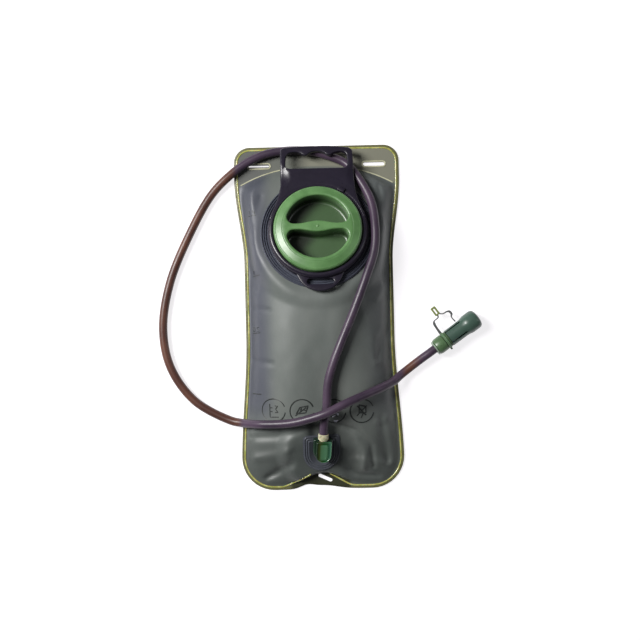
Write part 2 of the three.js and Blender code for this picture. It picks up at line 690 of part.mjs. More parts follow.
// The hose lies from the port over the bag, past the collar and under the handle, out to the left, round
// the bag, back across it over its first stretch, and off the right side to the valve.
function hoseRoute() {
  const start = [0, 14].map((along) => (
    socket.localToWorld(new THREE.Vector3(0, PLUG_END_Y + GAP + along, SOCKET_AXIS_Z))
  ));
  const middle = [
    [3.9, -100.5, 35.6], [6.7, -68, 39.8], [12.3, -48.3, 41.6], [20, -29, 42.2], [35.4, 6.8, 40.2],
    [48.7, 40.7, 39.8], [58.2, 68.8, 36.8], [59.9, 94, 32.2], [56.3, 122.6, 23.8], [42.2, 151, 14.6],
    [31.9, 164.1, 9.6], [18.1, 171.4, 7.6], [-8, 178.9, 7.3], [-37.9, 179.3, 7.2], [-58, 175.4, 7.2],
    [-74.3, 167.9, 7.3], [-95, 153, 6.9], [-114, 134, 4.7], [-136.5, 95.8, 4.7], [-160.4, 41, 4.7],
    [-169, -9.3, 4.7], [-161.5, -50.8, 4.7], [-136.6, -86.6, 4.7], [-99, -108, 6.9], [-87, -110.5, 10.4],
    [-63, -111, 26], [-31.8, -109, 36], [-13.8, -104.7, 41.4], [3.9, -98.8, 45.2], [25.8, -88.8, 43],
    [43.8, -82, 37], [63.4, -75.1, 26.4], [76.2, -70, 15.4], [86.4, -62.4, 9.6], [106.2, -47.6, 9.8],
  ];
  const end = [-8, 0, VALVE_SOCKET_DEPTH - GAP].map((along) => (
    valve.localToWorld(new THREE.Vector3(along, 0, 0))
  ));
  return [...start, ...middle.map(([x, y, z]) => new THREE.Vector3(x, y, z)), ...end];
}

function hose() {
  const curve = new THREE.CatmullRomCurve3(hoseRoute(), false, 'centripetal');
  return sweep(curve, polygonSection(HOSE_RADIUS, HOSE_SIDES), HOSE_STEPS);
}

// ---------------------------------------------------------------- bite valve, along its own X axis

function valveBody() {
  return revolveAlongX([
    [5.3, 0], [7.6, 0], [7.6, 1.7], [6.6, 1.7], [6.6, 12.8], [7.4, 12.8], [7.4, 16.2],
    [9, 16.2], [9, 17], [8.2, 17.2], [8.2, 17.7], [8.9, 17.9], [6, 17.9], [6, 19.2],
    [4.4, 19.2], [4.4, 25.5], [3.8, 26.5], [2.2, 26.5], [2.2, VALVE_SOCKET_DEPTH],
    [5.3, VALVE_SOCKET_DEPTH], [5.3, 0],
  ]);
}

function shutoffSleeve() {
  const sleeve = revolveAlongX([
    [6.95, 2], [8.4, 2], [8.6, 2.8], [9, 5], [9, 11.8], [8.7, 12.5], [6.95, 12.5], [6.95, 2],
  ]);
  const arrow = box([4.5, -1, 8.6], [10.5, 1, 9.6]);
  return join(sleeve, arrow);
}

function valveRing() {
  return revolveAlongX([[6.1, 18.2], [7, 18.2], [7.2, 18.6], [7, 19], [6.1, 19], [6.1, 18.2]].map(
    ([radius, along]) => [radius + 0.2, along],
  ));
}

function mouthpiece() {
  const shell = revolveAlongX([
    [4.7, 19.6], [7, 19.6], [7.3, 21], [7, 24], [5.9, 29], [5.9, 38], [6.8, 43], [6.4, 47], [4.2, 49.5],
    [0, 50], [0, 48.2], [3.4, 47.8], [4.6, 45.5], [4.7, 43], [4.2, 38], [4.2, 30], [4.7, 28],
    [4.7, 19.6],
  ]);
  const slit = box([44, -3.4, -0.3], [52, 3.4, 0.3]);
  return cut(shell, slit);
}

function dustCover() {
  const start = COVER_START;
  const inner = COVER_RADIUS_START - COVER_WALL;
  const shell = revolveAlongX([
    [inner, start], [COVER_RADIUS_START, start], [COVER_RADIUS_START + 0.1, 38],
    [COVER_RADIUS_END, 43], [COVER_RADIUS_END, 52.5], [9.6, 55], [6.5, 56.5], [0, COVER_END],
    [0, COVER_END - COVER_WALL], [6, 55.2], [8.6, 53.8], [9.5, 52], [9.5, 43.2], [inner + 0.1, 38.6],
    [inner, start],
  ], 32);
  const cuts = [68, -35, -155].map((degrees) => (
    box([start - 1, -COVER_SLOT.width / 2, 6], [start + COVER_SLOT.length, COVER_SLOT.width / 2, 12])
      .rotateX(THREE.MathUtils.degToRad(-degrees))
  ));
  return cut(shell, ...cuts);
}

// A flat link between two points, as wide at each end as the round pad there.
function flatLink([x1, y1, width1], [x2, y2, width2], thickness) {
  const along = new THREE.Vector2(x2 - x1, y2 - y1).normalize();
  const side = new THREE.Vector2(-along.y, along.x);
  const corners = [
    [x1 - side.x * width1 / 2, y1 - side.y * width1 / 2],
    [x2 - side.x * width2 / 2, y2 - side.y * width2 / 2],
    [x2 + side.x * width2 / 2, y2 + side.y * width2 / 2],
    [x1 + side.x * width1 / 2, y1 + side.y * width1 / 2],
  ].map(([x, y]) => new THREE.Vector2(x, y));
  const strip = plate(new THREE.Shape(corners), -thickness / 2, thickness / 2);
  const pad = disc(width2 / 2, -thickness / 2, thickness / 2, 10).translate(x2, y2, 0);
  return join(strip, pad);
}

// The ring on the valve body, two thin links, the slotted pull tab between them and the end at the cover.
function coverTether() {
  const ring = revolveAlongX([[7.7, 13.1], [9.8, 13.1], [9.8, 15.9], [7.7, 15.9], [7.7, 13.1]]);
  const nub = box([13.6, -11.4, -1], [15.4, -9.2, 1]);
  const ringLink = [[14.5, 9.2, 3], [14.6, 16.5, 2.4], [15.5, 22.5, 2.6], [17, 24.2, 1.3],
    [22.6, 24.8, 1.3], [24, 27.4, 1.6]];
  const coverLink = [[26, 27.4, 1.4], [29, 25, 1.2], [34, 24.2, 1.6], [36, 22.8, 2.4],
    [36.4, 19.4, 2.2], [34.4, 16.8, 1.1], [34.8, 10.4, 1.4]];
  const pieces = [ring, nub];
  for (const link of [ringLink, coverLink]) {
    for (let end = 1; end < link.length; end += 1) {
      pieces.push(flatLink(link[end - 1], link[end], TETHER_THICKNESS));
    }
  }
  const pullTab = box([21.4, 27, -TETHER_THICKNESS / 2], [27, 37, TETHER_THICKNESS / 2]);
  const pullSlot = box([23.3, 28.6, -2], [25, 35, 2]);
  pieces.push(cut(pullTab, pullSlot));
  return join(...pieces);
}

// ---------------------------------------------------------------- assembly

const bladder = new THREE.Group();

const neck = new THREE.Group();
neck.position.copy(NECK_CENTRE);
neck.rotation.x = -NECK_LEAN;
bladder.add(neck);

const port = new THREE.Group();
port.position.copy(PORT_CENTRE);
port.rotation.set(PORT_PITCH, PORT_ROLL, 0);
bladder.add(port);

const socket = new THREE.Group();
socket.position.y = HOUSING_SHIFT_Y;
socket.rotation.z = SOCKET_YAW;
port.add(socket);

const valve = new THREE.Group();
valve.position.copy(VALVE_CENTRE);
valve.rotation.z = VALVE_TURN;
bladder.add(valve);

function addPiece(parent, name, geometry, finish) {
  const mesh = new THREE.Mesh(geometry, new THREE.MeshStandardMaterial(FINISH[finish]));
  mesh.name = name;
  parent.add(mesh);
}

bladder.updateMatrixWorld(true);

addPiece(bladder, 'back_panel', backPanel(), 'film');
addPiece(bladder, 'front_panel', frontPanel(), 'film');
addPiece(neck, 'neck_flange', neckFlange(), 'flange');
addPiece(neck, 'handle_collar', handleCollar(), 'collar');
addPiece(neck, 'cap_gasket', capGasket(), 'gasket');
addPiece(neck, 'cap_shell', capShell(), 'cap');
addPiece(port, 'port_flange', portFlange(), 'flange');
addPiece(socket, 'port_housing', portHousing(), 'port');
addPiece(socket, 'release_button', releaseButton(), 'button');
addPiece(socket, 'button_spring', buttonSpring(), 'steel');
addPiece(socket, 'port_poppet', portPoppet(), 'plug');
addPiece(socket, 'poppet_spring', poppetSpring(), 'steel');
addPiece(socket, 'hose_plug', hosePlug(), 'plug');
addPiece(socket, 'plug_o_ring', plugRing(), 'rubber');
addPiece(bladder, 'hose', hose(), 'hose');
addPiece(valve, 'valve_body', valveBody(), 'valve');
addPiece(valve, 'shutoff_sleeve', shutoffSleeve(), 'valve');
addPiece(valve, 'valve_o_ring', valveRing(), 'rubber');
addPiece(valve, 'mouthpiece', mouthpiece(), 'silicone');
addPiece(valve, 'dust_cover', dustCover(), 'cover');
addPiece(valve, 'cover_tether', coverTether(), 'tether');

export default bladder;
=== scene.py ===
"""A hydration bladder lying flat: the looks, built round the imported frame. Lengths in piece functions are
millimetres in that piece's own frame; everything placed in the scene is in metres."""
import json
import math

import bpy
import numpy as np
from mathutils import Matrix, Vector, noise
from mathutils.bvhtree import BVHTree
from mathutils.geometry import delaunay_2d_cdt


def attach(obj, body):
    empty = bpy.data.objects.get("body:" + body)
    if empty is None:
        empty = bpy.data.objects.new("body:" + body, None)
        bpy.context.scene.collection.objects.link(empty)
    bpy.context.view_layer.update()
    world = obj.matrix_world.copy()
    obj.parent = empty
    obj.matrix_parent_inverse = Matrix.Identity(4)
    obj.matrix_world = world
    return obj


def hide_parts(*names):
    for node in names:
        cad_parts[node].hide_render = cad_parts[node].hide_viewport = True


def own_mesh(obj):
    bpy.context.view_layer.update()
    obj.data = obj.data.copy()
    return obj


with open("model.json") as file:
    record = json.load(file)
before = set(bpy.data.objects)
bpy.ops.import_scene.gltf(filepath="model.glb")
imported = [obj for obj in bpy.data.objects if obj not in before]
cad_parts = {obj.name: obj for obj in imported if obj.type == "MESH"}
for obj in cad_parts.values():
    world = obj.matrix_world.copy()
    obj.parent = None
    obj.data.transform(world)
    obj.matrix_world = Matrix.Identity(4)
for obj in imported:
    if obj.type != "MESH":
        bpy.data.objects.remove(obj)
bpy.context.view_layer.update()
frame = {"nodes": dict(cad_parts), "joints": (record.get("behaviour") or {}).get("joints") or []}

MM = 0.001

# ---------------- frames of the four groups

JOINTS = {joint["name"]: joint for joint in frame["joints"]}


def axes_at(origin, x, y, z):
    turn = Matrix((x, y, z)).transposed().to_4x4()
    return Matrix.Translation(origin) @ turn


NECK_Z = Vector(JOINTS["cap_turn"]["axis"])
NECK_X = Vector((1, 0, 0))
NECK_AT = Vector(JOINTS["cap_turn"]["pos_m"])
NECK = axes_at(NECK_AT, NECK_X, NECK_Z.cross(NECK_X), NECK_Z)
PORT_Z = -Vector(JOINTS["button_press"]["axis"])
PORT_Y = Vector((0, PORT_Z.z, -PORT_Z.y)).normalized()
PORT_AT = Vector((-0.0016, -0.1433, 0.017))
PORT = axes_at(PORT_AT, PORT_Y.cross(PORT_Z), PORT_Y, PORT_Z)
SOCKET = PORT @ Matrix.Translation((0, 0.0062, 0)) @ Matrix.Rotation(math.radians(-4), 4, "Z")
SOCKET_HOSE_HEIGHT = 0.0085
SOCKET_HOSE_START = 0.0184
VALVE_X = Vector(JOINTS["shutoff_turn"]["axis"])
VALVE_Z = Vector((0, 0, 1))
VALVE = axes_at(Vector(JOINTS["shutoff_turn"]["pos_m"]), VALVE_X, VALVE_Z.cross(VALVE_X), VALVE_Z)
TABLE = Matrix.Identity(4)

# ---------------- camera


CAMERA_LENS = 46.79
CAMERA_SENSOR = 36
CAMERA_AT = (0, -0.00265, 0.9)
CAMERA_ROLL = math.radians(-1.38)


def add_camera():
    """Straight above the bag, looking down, a little turned."""
    data = bpy.data.cameras.new("photo_camera")
    data.lens = CAMERA_LENS
    data.sensor_width = CAMERA_SENSOR
    data.clip_start = 0.05
    data.clip_end = 20
    camera = bpy.data.objects.new("photo_camera", data)
    camera.location = CAMERA_AT
    camera.rotation_euler = (0, 0, CAMERA_ROLL)
    bpy.context.scene.collection.objects.link(camera)
    bpy.context.scene.camera = camera


add_camera()

# ---------------- materials


class Nodes:
    """Short names for building one material's nodes."""

    def __init__(self, name):
        self.material = bpy.data.materials.new(name)
        self.material.use_nodes = True
        self.tree = self.material.node_tree
        self.shader = self.tree.nodes["Principled BSDF"]

    def add(self, kind, **values):
        node = self.tree.nodes.new(kind)
        for key, value in values.items():
            setattr(node, key, value)
        return node

    def link(self, source, target):
        self.tree.links.new(source, target)

    def set(self, **values):
        for key, value in values.items():
            self.shader.inputs[key.replace("_", " ")].default_value = value

    def position(self):
        return self.add("ShaderNodeTexCoord").outputs["Object"]

    def noise(self, scale, detail=3, stretch=None, roughness=0.5):
        node = self.add("ShaderNodeTexNoise")
        node.inputs["Scale"].default_value = scale
        node.inputs["Detail"].default_value = detail
        node.inputs["Roughness"].default_value = roughness
        source = self.position()
        if stretch is not None:
            mapping = self.add("ShaderNodeMapping")
            mapping.inputs["Scale"].default_value = stretch
            self.link(source, mapping.inputs["Vector"])
            source = mapping.outputs["Vector"]
        self.link(source, node.inputs["Vector"])
        return node.outputs["Fac"]

    def attribute(self, name):
        return self.add("ShaderNodeAttribute", attribute_name=name).outputs["Fac"]

    def ramp(self, source, stops):
        node = self.add("ShaderNodeValToRGB")
        elements = node.color_ramp.elements
        while len(elements) < len(stops):
            elements.new(0.5)
        for element, (place, colour) in zip(elements, stops):
            element.position = place
            element.color = colour
        self.link(source, node.inputs["Fac"])
        return node.outputs["Color"]

    def spread(self, source, low, high):
        node = self.add("ShaderNodeMapRange")
        node.inputs["To Min"].default_value = low
        node.inputs["To Max"].default_value = high
        self.link(source, node.inputs["Value"])
        return node.outputs["Result"]

    def mix(self, factor, first, second):
        node = self.add("ShaderNodeMix", data_type="RGBA")
        for value, socket in ((factor, node.inputs[0]), (first, node.inputs[6]), (second, node.inputs[7])):
            if isinstance(value, bpy.types.NodeSocket):
                self.link(value, socket)
            else:
                socket.default_value = value
        return node.outputs[2]

    def colour(self, source):
        self.link(source, self.shader.inputs["Base Color"])

    def roughness(self, source):
        self.link(source, self.shader.inputs["Roughness"])

    def bump(self, source, strength, distance):
        node = self.add("ShaderNodeBump")
        node.inputs["Strength"].default_value = strength
        node.inputs["Distance"].default_value = distance
        self.link(source, node.inputs["Height"])
        self.link(node.outputs["Normal"], self.shader.inputs["Normal"])


def rgb(red, green, blue):
    """A colour given as it looks on screen, from 0 to 255."""
    def linear(value):
        value /= 255
        return value / 12.92 if value <= 0.04045 else ((value + 0.055) / 1.055) ** 2.4
    return (linear(red), linear(green), linear(blue), 1)


def scaled(colour, factor):
    return (*(min(1, channel * factor) for channel in colour[:3]), 1)


def surface(name, tint, gloss, grain, **settings):
    """A material: tint is (noise, stops), gloss is (noise, low, high), grain is (noise, strength, depth)."""
    made = Nodes(name)
    made.colour(made.ramp(made.noise(*tint[0]), tint[1]))
    made.roughness(made.spread(made.noise(*gloss[0]), *gloss[1:]))
    made.bump(made.noise(*grain[0]), *grain[1:])
    made.set(**settings)
    return made.material


def moulded(name, colour, roughness, grain=0.03, specular=0.5, variation=0.16, coat=0.0):
    """Moulded plastic: faint flow streaks in the colour, a fine skin grain and a varying gloss."""
    stops = [(0.3, scaled(colour, 1 - variation)), (0.55, colour), (0.75, scaled(colour, 1 + variation))]
    gloss = ((420, 3), max(0.03, roughness - 0.07), roughness + 0.09)
    return surface(name, ((55, 4, (1, 1.6, 1)), stops), gloss, ((1900, 2), grain, 0.0001),
                   Specular_IOR_Level=specular, Coat_Weight=coat, Coat_Roughness=0.12)


def gasket_rubber(name, colour, roughness):
    stops = [(0.35, scaled(colour, 0.85)), (0.7, scaled(colour, 1.1))]
    gloss = ((600, 2), roughness - 0.08, roughness + 0.08)
    return surface(name, ((300, 3), stops), gloss, ((2600, 2), 0.12, 0.0001))


def spring_steel():
    stops = [(0.3, (0.42, 0.43, 0.44, 1)), (0.7, (0.62, 0.63, 0.65, 1))]
    return surface("spring_wire", ((900, 2), stops), ((1500, 2), 0.2, 0.38), ((3000, 1), 0.05, 0.00005),
                   Metallic=1.0)

# ---------------- mesh helpers


def piece(name, shape, place, material, body, sharp=40, stands_for=None):
    """A mesh object from vertices in millimetres in the frame called place. It may stand for a CAD node."""
    verts, faces = shape
    mesh = bpy.data.meshes.new(name)
    mesh.from_pydata([tuple(v) for v in verts], [], [tuple(f) for f in faces])
    mesh.validate()
    mesh.transform(place @ Matrix.Scale(MM, 4))
    mesh.update()
    mesh.shade_smooth()
    mesh.set_sharp_from_angle(angle=math.radians(sharp))
    mesh.materials.append(material)
    made = bpy.data.objects.new(name, mesh)
    bpy.context.scene.collection.objects.link(made)
    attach(made, body)
    if stands_for:
        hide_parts(stands_for)
    return made


def joined(*shapes):
    verts, faces = [], []
    for more_verts, more_faces in shapes:
        base = len(verts)
        verts.extend(more_verts)
        faces.extend([tuple(i + base for i in face) for face in more_faces])
    return verts, faces


def moved(shape, matrix):
    return [tuple(matrix @ Vector(v)) for v in shape[0]], shape[1]


def shaped(shape, change):
    return [change(*v) for v in shape[0]], shape[1]


def softened(points, radius, steps=3, closed=True):
    """The same outline with its corners rounded."""
    result = []
    for number, point in enumerate(points):
        here = Vector(point)
        if not closed and number in (0, len(points) - 1):
            result.append(tuple(here))
            continue
        to_last = Vector(points[number - 1]) - here
        to_next = Vector(points[(number + 1) % len(points)]) - here
        reach = min(radius, to_last.length * 0.45, to_next.length * 0.45)
        if reach < 1e-3 or abs(to_last.normalized().cross(to_next.normalized())) < 0.08:
            result.append(tuple(here))
            continue
        start = here + to_last.normalized() * reach
        end = here + to_next.normalized() * reach
        for step in range(steps + 1):
            t = step / steps
            result.append(tuple(start * (1 - t) ** 2 + here * 2 * t * (1 - t) + end * t * t))
    return result


def lathe(profile, segments=96, closed=True):
    """A solid of revolution about Z from (radius, height) points, the outer wall going up."""
    verts, rings, faces = [], [], []
    for radius, height in profile:
        first = len(verts)
        if radius < 1e-6:
            verts.append((0, 0, height))
            rings.append([first] * segments)
            continue
        for side in range(segments):
            angle = 2 * math.pi * side / segments
            verts.append((radius * math.cos(angle), radius * math.sin(angle), height))
        rings.append(list(range(first, first + segments)))
    pairs = list(zip(rings, rings[1:]))
    if closed:
        pairs.append((rings[-1], rings[0]))
    for low, high in pairs:
        for side in range(segments):
            after = (side + 1) % segments
            face = [low[side], low[after], high[after], high[side]]
            face = [v for place, v in enumerate(face) if v not in face[:place]]
            if len(face) > 2:
                faces.append(tuple(face))
    return verts, faces


def along_x(shape):
    return [(z, x, y) for x, y, z in shape[0]], shape[1]


def along_y(shape):
    return [(y, z, x) for x, y, z in shape[0]], shape[1]


def counterclockwise(outline):
    area = sum(a[0] * b[1] - b[0] * a[1] for a, b in zip(outline, outline[1:] + outline[:1]))
    return outline if area > 0 else outline[::-1]


def inset(outline, distance):
    """A counterclockwise outline moved inwards."""
    result = []
    for number, point in enumerate(outline):
        here = Vector(point)
        arriving = (here - Vector(outline[number - 1])).normalized()
        leaving = (Vector(outline[(number + 1) % len(outline)]) - here).normalized()
        inwards = Vector((-arriving.y - leaving.y, arriving.x + leaving.x)).normalized()
        lean = inwards.dot(Vector((-arriving.y, arriving.x)))
        result.append(tuple(here + inwards * distance / max(0.5, lean)))
    return result


def inside(points, outline):
    """Which of the points (an n by 2 array) lie inside an outline."""
    x, y = points[:, 0], points[:, 1]
    found = np.zeros(len(points), bool)
    for (x1, y1), (x2, y2) in zip(outline, outline[-1:] + outline[:-1]):
        if y1 != y2:
            found ^= ((y1 > y) != (y2 > y)) & (x < (x2 - x1) * (y - y1) / (y2 - y1) + x1)
    return found


def between(points, outlines):
    """Which of the points lie inside the first outline and outside the others."""
    found = inside(points, outlines[0])
    for hole in outlines[1:]:
        found &= ~inside(points, hole)
    return found


def grid_inside(outlines, step):
    """Staggered rows of points inside an outline, clear of its edges and holes."""
    corners = np.array(outlines[0], float)
    low, high = corners.min(0), corners.max(0)
    columns = np.arange(low[0], high[0], step)
    rows = np.arange(low[1], high[1], step * 0.87)
    x, y = np.meshgrid(columns, rows)
    x = x + 0.5 * step * (np.arange(len(rows)) % 2)[:, None]
    points = np.stack([x.ravel(), y.ravel()], 1)
    points = points[between(points, outlines)]
    for outline in outlines:
        for corner in np.array(outline, float):
            points = points[((points - corner) ** 2).sum(1) > (0.55 * step) ** 2]
    return [Vector(p) for p in points]


def cap(verts, faces, loops, upwards, step=None):
    """Fills between the first loop and the others, with points inside it if there is a step."""
    index = [i for loop in loops for i in loop]
    points = [Vector(verts[i][:2]) for i in index]
    height = verts[index[0]][2]
    edges = []
    for loop in loops:
        first = len(edges)
        edges.extend((first + s, first + (s + 1) % len(loop)) for s in range(len(loop)))
    outlines = [[tuple(verts[i][:2]) for i in loop] for loop in loops]
    if step:
        points += grid_inside(outlines, step)
    made, _, triangles, origins, _, _ = delaunay_2d_cdt(points, edges, [], 0, 1e-6)
    number = {}
    for place, source in enumerate(origins):
        known = [k for k in source if k < len(index)]
        number[place] = index[known[0]] if known else len(verts)
        if not known:
            verts.append((made[place].x, made[place].y, height))
    corners = np.array([[tuple(made[k]) for k in t] for t in triangles])
    kept = between(corners.mean(1), outlines)
    ab, ac = corners[:, 1] - corners[:, 0], corners[:, 2] - corners[:, 0]
    turns_left = ab[:, 0] * ac[:, 1] - ab[:, 1] * ac[:, 0] > 0
    for triangle, wanted, left in zip(triangles, kept, turns_left):
        if wanted:
            face = tuple(number[k] for k in triangle)
            faces.append(face if left == upwards else face[::-1])


def edge_levels(bottom, top, low_round, high_round, steps=3):
    """(inset, height) up the side of a moulding with rounded lower and upper edges."""
    levels = []
    for step in range(steps + 1):
        angle = math.pi / 2 * step / steps
        levels.append((low_round * (1 - math.sin(angle)), bottom + low_round * (1 - math.cos(angle))))
    for step in range(steps + 1):
        angle = math.pi / 2 * step / steps
        levels.append((high_round * (1 - math.cos(angle)), top - high_round * (1 - math.sin(angle))))
    return levels


def moulding(outer, holes, levels, step=None, hole_levels=None, open_below=False):
    """A plate with rounded edges from its outline, its holes and the (inset, height) levels up its side."""
    verts, faces, ends = [], [], []
    loops = [(counterclockwise(list(outer)), levels, 1)]
    loops += [(counterclockwise(list(hole)), hole_levels or levels, -1) for hole in holes]
    for outline, sides, sign in loops:
        rings = []
        for distance, height in sides:
            first = len(verts)
            verts.extend((x, y, height) for x, y in inset(outline, sign * distance))
            rings.append(list(range(first, len(verts))))
        for low, high in zip(rings, rings[1:]):
            for side in range(len(low)):
                after = (side + 1) % len(low)
                quad = (low[side], low[after], high[after], high[side])
                faces.append(quad if sign > 0 else quad[::-1])
        ends.append((rings[0], rings[-1]))
    cap(verts, faces, [high for _, high in ends], True, step)
    if not open_below:
        cap(verts, faces, [low for low, _ in ends], False)
    return verts, faces


def swept(path, section, closed=False):
    """A section (sideways, up) carried along a path that never runs straight up."""
    verts, faces, rings = [], [], []
    count = len(path)
    points = [Vector(p) for p in path]
    for number, here in enumerate(points):
        before = points[number - 1] if number or closed else here
        after = points[(number + 1) % count] if number < count - 1 or closed else here
        ahead = (after - before).normalized()
        side = Vector((0, 0, 1)).cross(ahead).normalized()
        up = ahead.cross(side)
        first = len(verts)
        verts.extend(tuple(here + side * a + up * b) for a, b in section)
        rings.append(list(range(first, len(verts))))
    pairs = list(zip(rings, rings[1:]))
    if closed:
        pairs.append((rings[-1], rings[0]))
    for low, high in pairs:
        for side in range(len(section)):
            after = (side + 1) % len(section)
            faces.append((low[side], low[after], high[after], high[side]))
    if not closed:
        faces.append(tuple(rings[0][::-1]))
        faces.append(tuple(rings[-1]))
    return verts, faces


def oval(half_width, half_height, sides=12):
    angles = [2 * math.pi * side / sides for side in range(sides)]
    return [(half_width * math.cos(a), half_height * math.sin(a)) for a in angles]


def slot_outline(x, y, length, width, turn=0.0, steps=8):
    reach = length / 2 - width / 2
    points = []
    for centre, start in ((reach, -90), (-reach, 90)):
        for step in range(steps + 1):
            angle = math.radians(start + 180 * step / steps)
            points.append((centre + width / 2 * math.cos(angle), width / 2 * math.sin(angle)))
    c, s = math.cos(math.radians(turn)), math.sin(math.radians(turn))
    return [(x + c * a - s * b, y + s * a + c * b) for a, b in points]


def block(low, high, soft=0.4):
    outline = [(low[0], low[1]), (high[0], low[1]), (high[0], high[1]), (low[0], high[1])]
    rounded = softened(outline, soft, 3)
    return moulding(rounded, [], edge_levels(low[2], high[2], soft * 0.5, soft * 0.5, 2))


def quadratic(points, steps=8):
    """A path from one start point and then (control, end) pairs of a quadratic curve."""
    path = [points[0]]
    for control, end in points[1:]:
        start = Vector(path[-1])
        for step in range(1, steps + 1):
            t = step / steps
            at = start * (1 - t) ** 2 + Vector(control) * 2 * t * (1 - t) + Vector(end) * t * t
            path.append(tuple(at))
    return path


def paint(made, name, values):
    layer = made.data.attributes.new(name, "FLOAT", "POINT")
    layer.data.foreach_set("value", np.array(values, np.float32))


def clamp01(value):
    return min(1.0, max(0.0, value))


def smooth(value):
    t = clamp01(value)
    return t * t * (3 - 2 * t)


def lerp(a, b, t):
    return a + (b - a) * t

# ---------------- hose

HOSE_DIAMETER = 0.009

# The route's points between the port and the valve, the same as the frame's, in metres.
HOSE_MIDDLE = [
    (0.0039, -0.1005, 0.0356), (0.0067, -0.0680, 0.0398), (0.0123, -0.0483, 0.0416),
    (0.0200, -0.0290, 0.0422), (0.0354, 0.0068, 0.0402), (0.0487, 0.0407, 0.0398),
    (0.0582, 0.0688, 0.0368), (0.0599, 0.0940, 0.0322), (0.0563, 0.1226, 0.0238),
    (0.0422, 0.1510, 0.0146), (0.0319, 0.1641, 0.0096), (0.0181, 0.1714, 0.0076),
    (-0.0080, 0.1789, 0.0073), (-0.0379, 0.1793, 0.0072), (-0.0580, 0.1754, 0.0072),
    (-0.0743, 0.1679, 0.0073), (-0.0950, 0.1530, 0.0069), (-0.1140, 0.1340, 0.0047),
    (-0.1365, 0.0958, 0.0047), (-0.1604, 0.0410, 0.0047), (-0.1690, -0.0093, 0.0047),
    (-0.1615, -0.0508, 0.0047), (-0.1366, -0.0866, 0.0047), (-0.0990, -0.1080, 0.0069),
    (-0.0870, -0.1105, 0.0104), (-0.0630, -0.1110, 0.0260), (-0.0318, -0.1090, 0.0360),
    (-0.0138, -0.1047, 0.0414), (0.0039, -0.0988, 0.0452), (0.0258, -0.0888, 0.0430),
    (0.0438, -0.0820, 0.0370), (0.0634, -0.0751, 0.0264), (0.0762, -0.0700, 0.0154),
    (0.0864, -0.0624, 0.0096), (0.1062, -0.0476, 0.0098),
]


def hose_points():
    start = [SOCKET @ Vector((0, along, SOCKET_HOSE_HEIGHT)) for along in (SOCKET_HOSE_START, 0.0324)]
    end = [VALVE @ Vector((along, 0, 0)) for along in (-0.008, 0, 0.0057)]
    return start + [Vector(p) for p in HOSE_MIDDLE] + end


def shared(a, b, start, end, t):
    """The value at t on the straight line from a at start to b at end."""
    return a * ((end - t) / (end - start)) + b * ((t - start) / (end - start))


def smooth_curve(points, steps):
    """Points along a centripetal Catmull-Rom curve through these ones."""
    ends = [points[0] * 2 - points[1], *points, points[-1] * 2 - points[-2]]
    path = []
    for p0, p1, p2, p3 in zip(ends, ends[1:], ends[2:], ends[3:]):
        t0 = 0.0
        t1 = t0 + math.sqrt((p1 - p0).length)
        t2 = t1 + math.sqrt((p2 - p1).length)
        t3 = t2 + math.sqrt((p3 - p2).length)
        for step in range(steps):
            t = t1 + (t2 - t1) * step / steps
            a1 = shared(p0, p1, t0, t1, t)
            a2 = shared(p1, p2, t1, t2, t)
            a3 = shared(p2, p3, t2, t3, t)
            b1 = shared(a1, a2, t0, t2, t)
            b2 = shared(a2, a3, t1, t3, t)
            path.append(shared(b1, b2, t1, t2, t))
    path.append(points[-1].copy())
    return path


def evenly(path, count):
    """The same line with its points the same distance apart."""
    lengths = [0.0]
    for a, b in zip(path, path[1:]):
        lengths.append(lengths[-1] + (b - a).length)
    result, place = [], 0
    for number in range(count):
        wanted = lengths[-1] * number / (count - 1)
        while place < len(path) - 2 and lengths[place + 1] < wanted:
            place += 1
        share = (wanted - lengths[place]) / max(1e-12, lengths[place + 1] - lengths[place])
        result.append(path[place].lerp(path[place + 1], min(1, share)))
    return result, lengths[-1]


def hose_material():
    """Smoky tube: brown where white shows through it; painted shade makes it purplish and darker over the
    bag and at the valve.
    """
    made = Nodes("hose_tube")
    flow = made.noise(28, 3)
    brown = made.ramp(flow, [(0.32, rgb(62, 40, 34)), (0.5, rgb(76, 49, 42)), (0.7, rgb(92, 60, 48))])
    painted_see_through_shade = made.ramp(flow, [(0.32, rgb(52, 42, 56)), (0.5, rgb(62, 50, 65)), (0.7, rgb(74, 60, 76))])
    made.colour(made.mix(made.attribute("painted_see_through_shade"), brown, painted_see_through_shade))
    made.roughness(made.spread(made.noise(160, 3), 0.3, 0.44))
    made.bump(made.noise(900, 2), 0.05, 0.0001)
    made.set(Specular_IOR_Level=0.32, Coat_Weight=0.04, Coat_Roughness=0.3)
    return made.material


def hose_tube():
    path, length = evenly(smooth_curve(hose_points(), 24), 420)
    in_millimetres = [p / MM for p in path]
    radius = HOSE_DIAMETER / 2 / MM
    tube = swept(in_millimetres, oval(radius, radius, 28))
    made = piece("hose_tube", tube, TABLE, hose_material(), "bag", stands_for="hose")
    # Painted shade: purplish and darker where the hose lies over the bag and near the valve.
    over_bag = [max(smooth((92 - abs(x)) / 8), smooth((x - 95) / 15)) for x, _, _ in tube[0]]
    paint(made, "painted_see_through_shade", over_bag)
    return made, path, length


HOSE, HOSE_PATH, HOSE_LENGTH = hose_tube()

# ---------------- bag film

BAG_HALF_LENGTH = 185
TOP_CORNER = 17
BOTTOM_CORNER = 35
HEM = 5
HEM_TOP = 2.3
CROWN_HEIGHT = 36.5
NECK_Y = 89
NECK_HEIGHT = 25
NECK_LEAN = math.radians(13)
PORT_PITCH = math.radians(14)
PORT_ROLL = math.radians(8)

# Slots are (x, y, length, width, turn in degrees).
HANG_SLOTS = [(62, 164.5, 23, 3.8, 0), (-62, 164.5, 23, 3.8, 0)]
LEFT_SLOT = (-62, 164.5, 22, 1.6, 0)
TAB_SLOT = (1.8, -173, 16, 3.8, -24)


def side_half_width(y):
    return 80.1 + 8.9 * smooth((y - 60) / 90) + 7.5 * smooth((-20 - y) / 140)


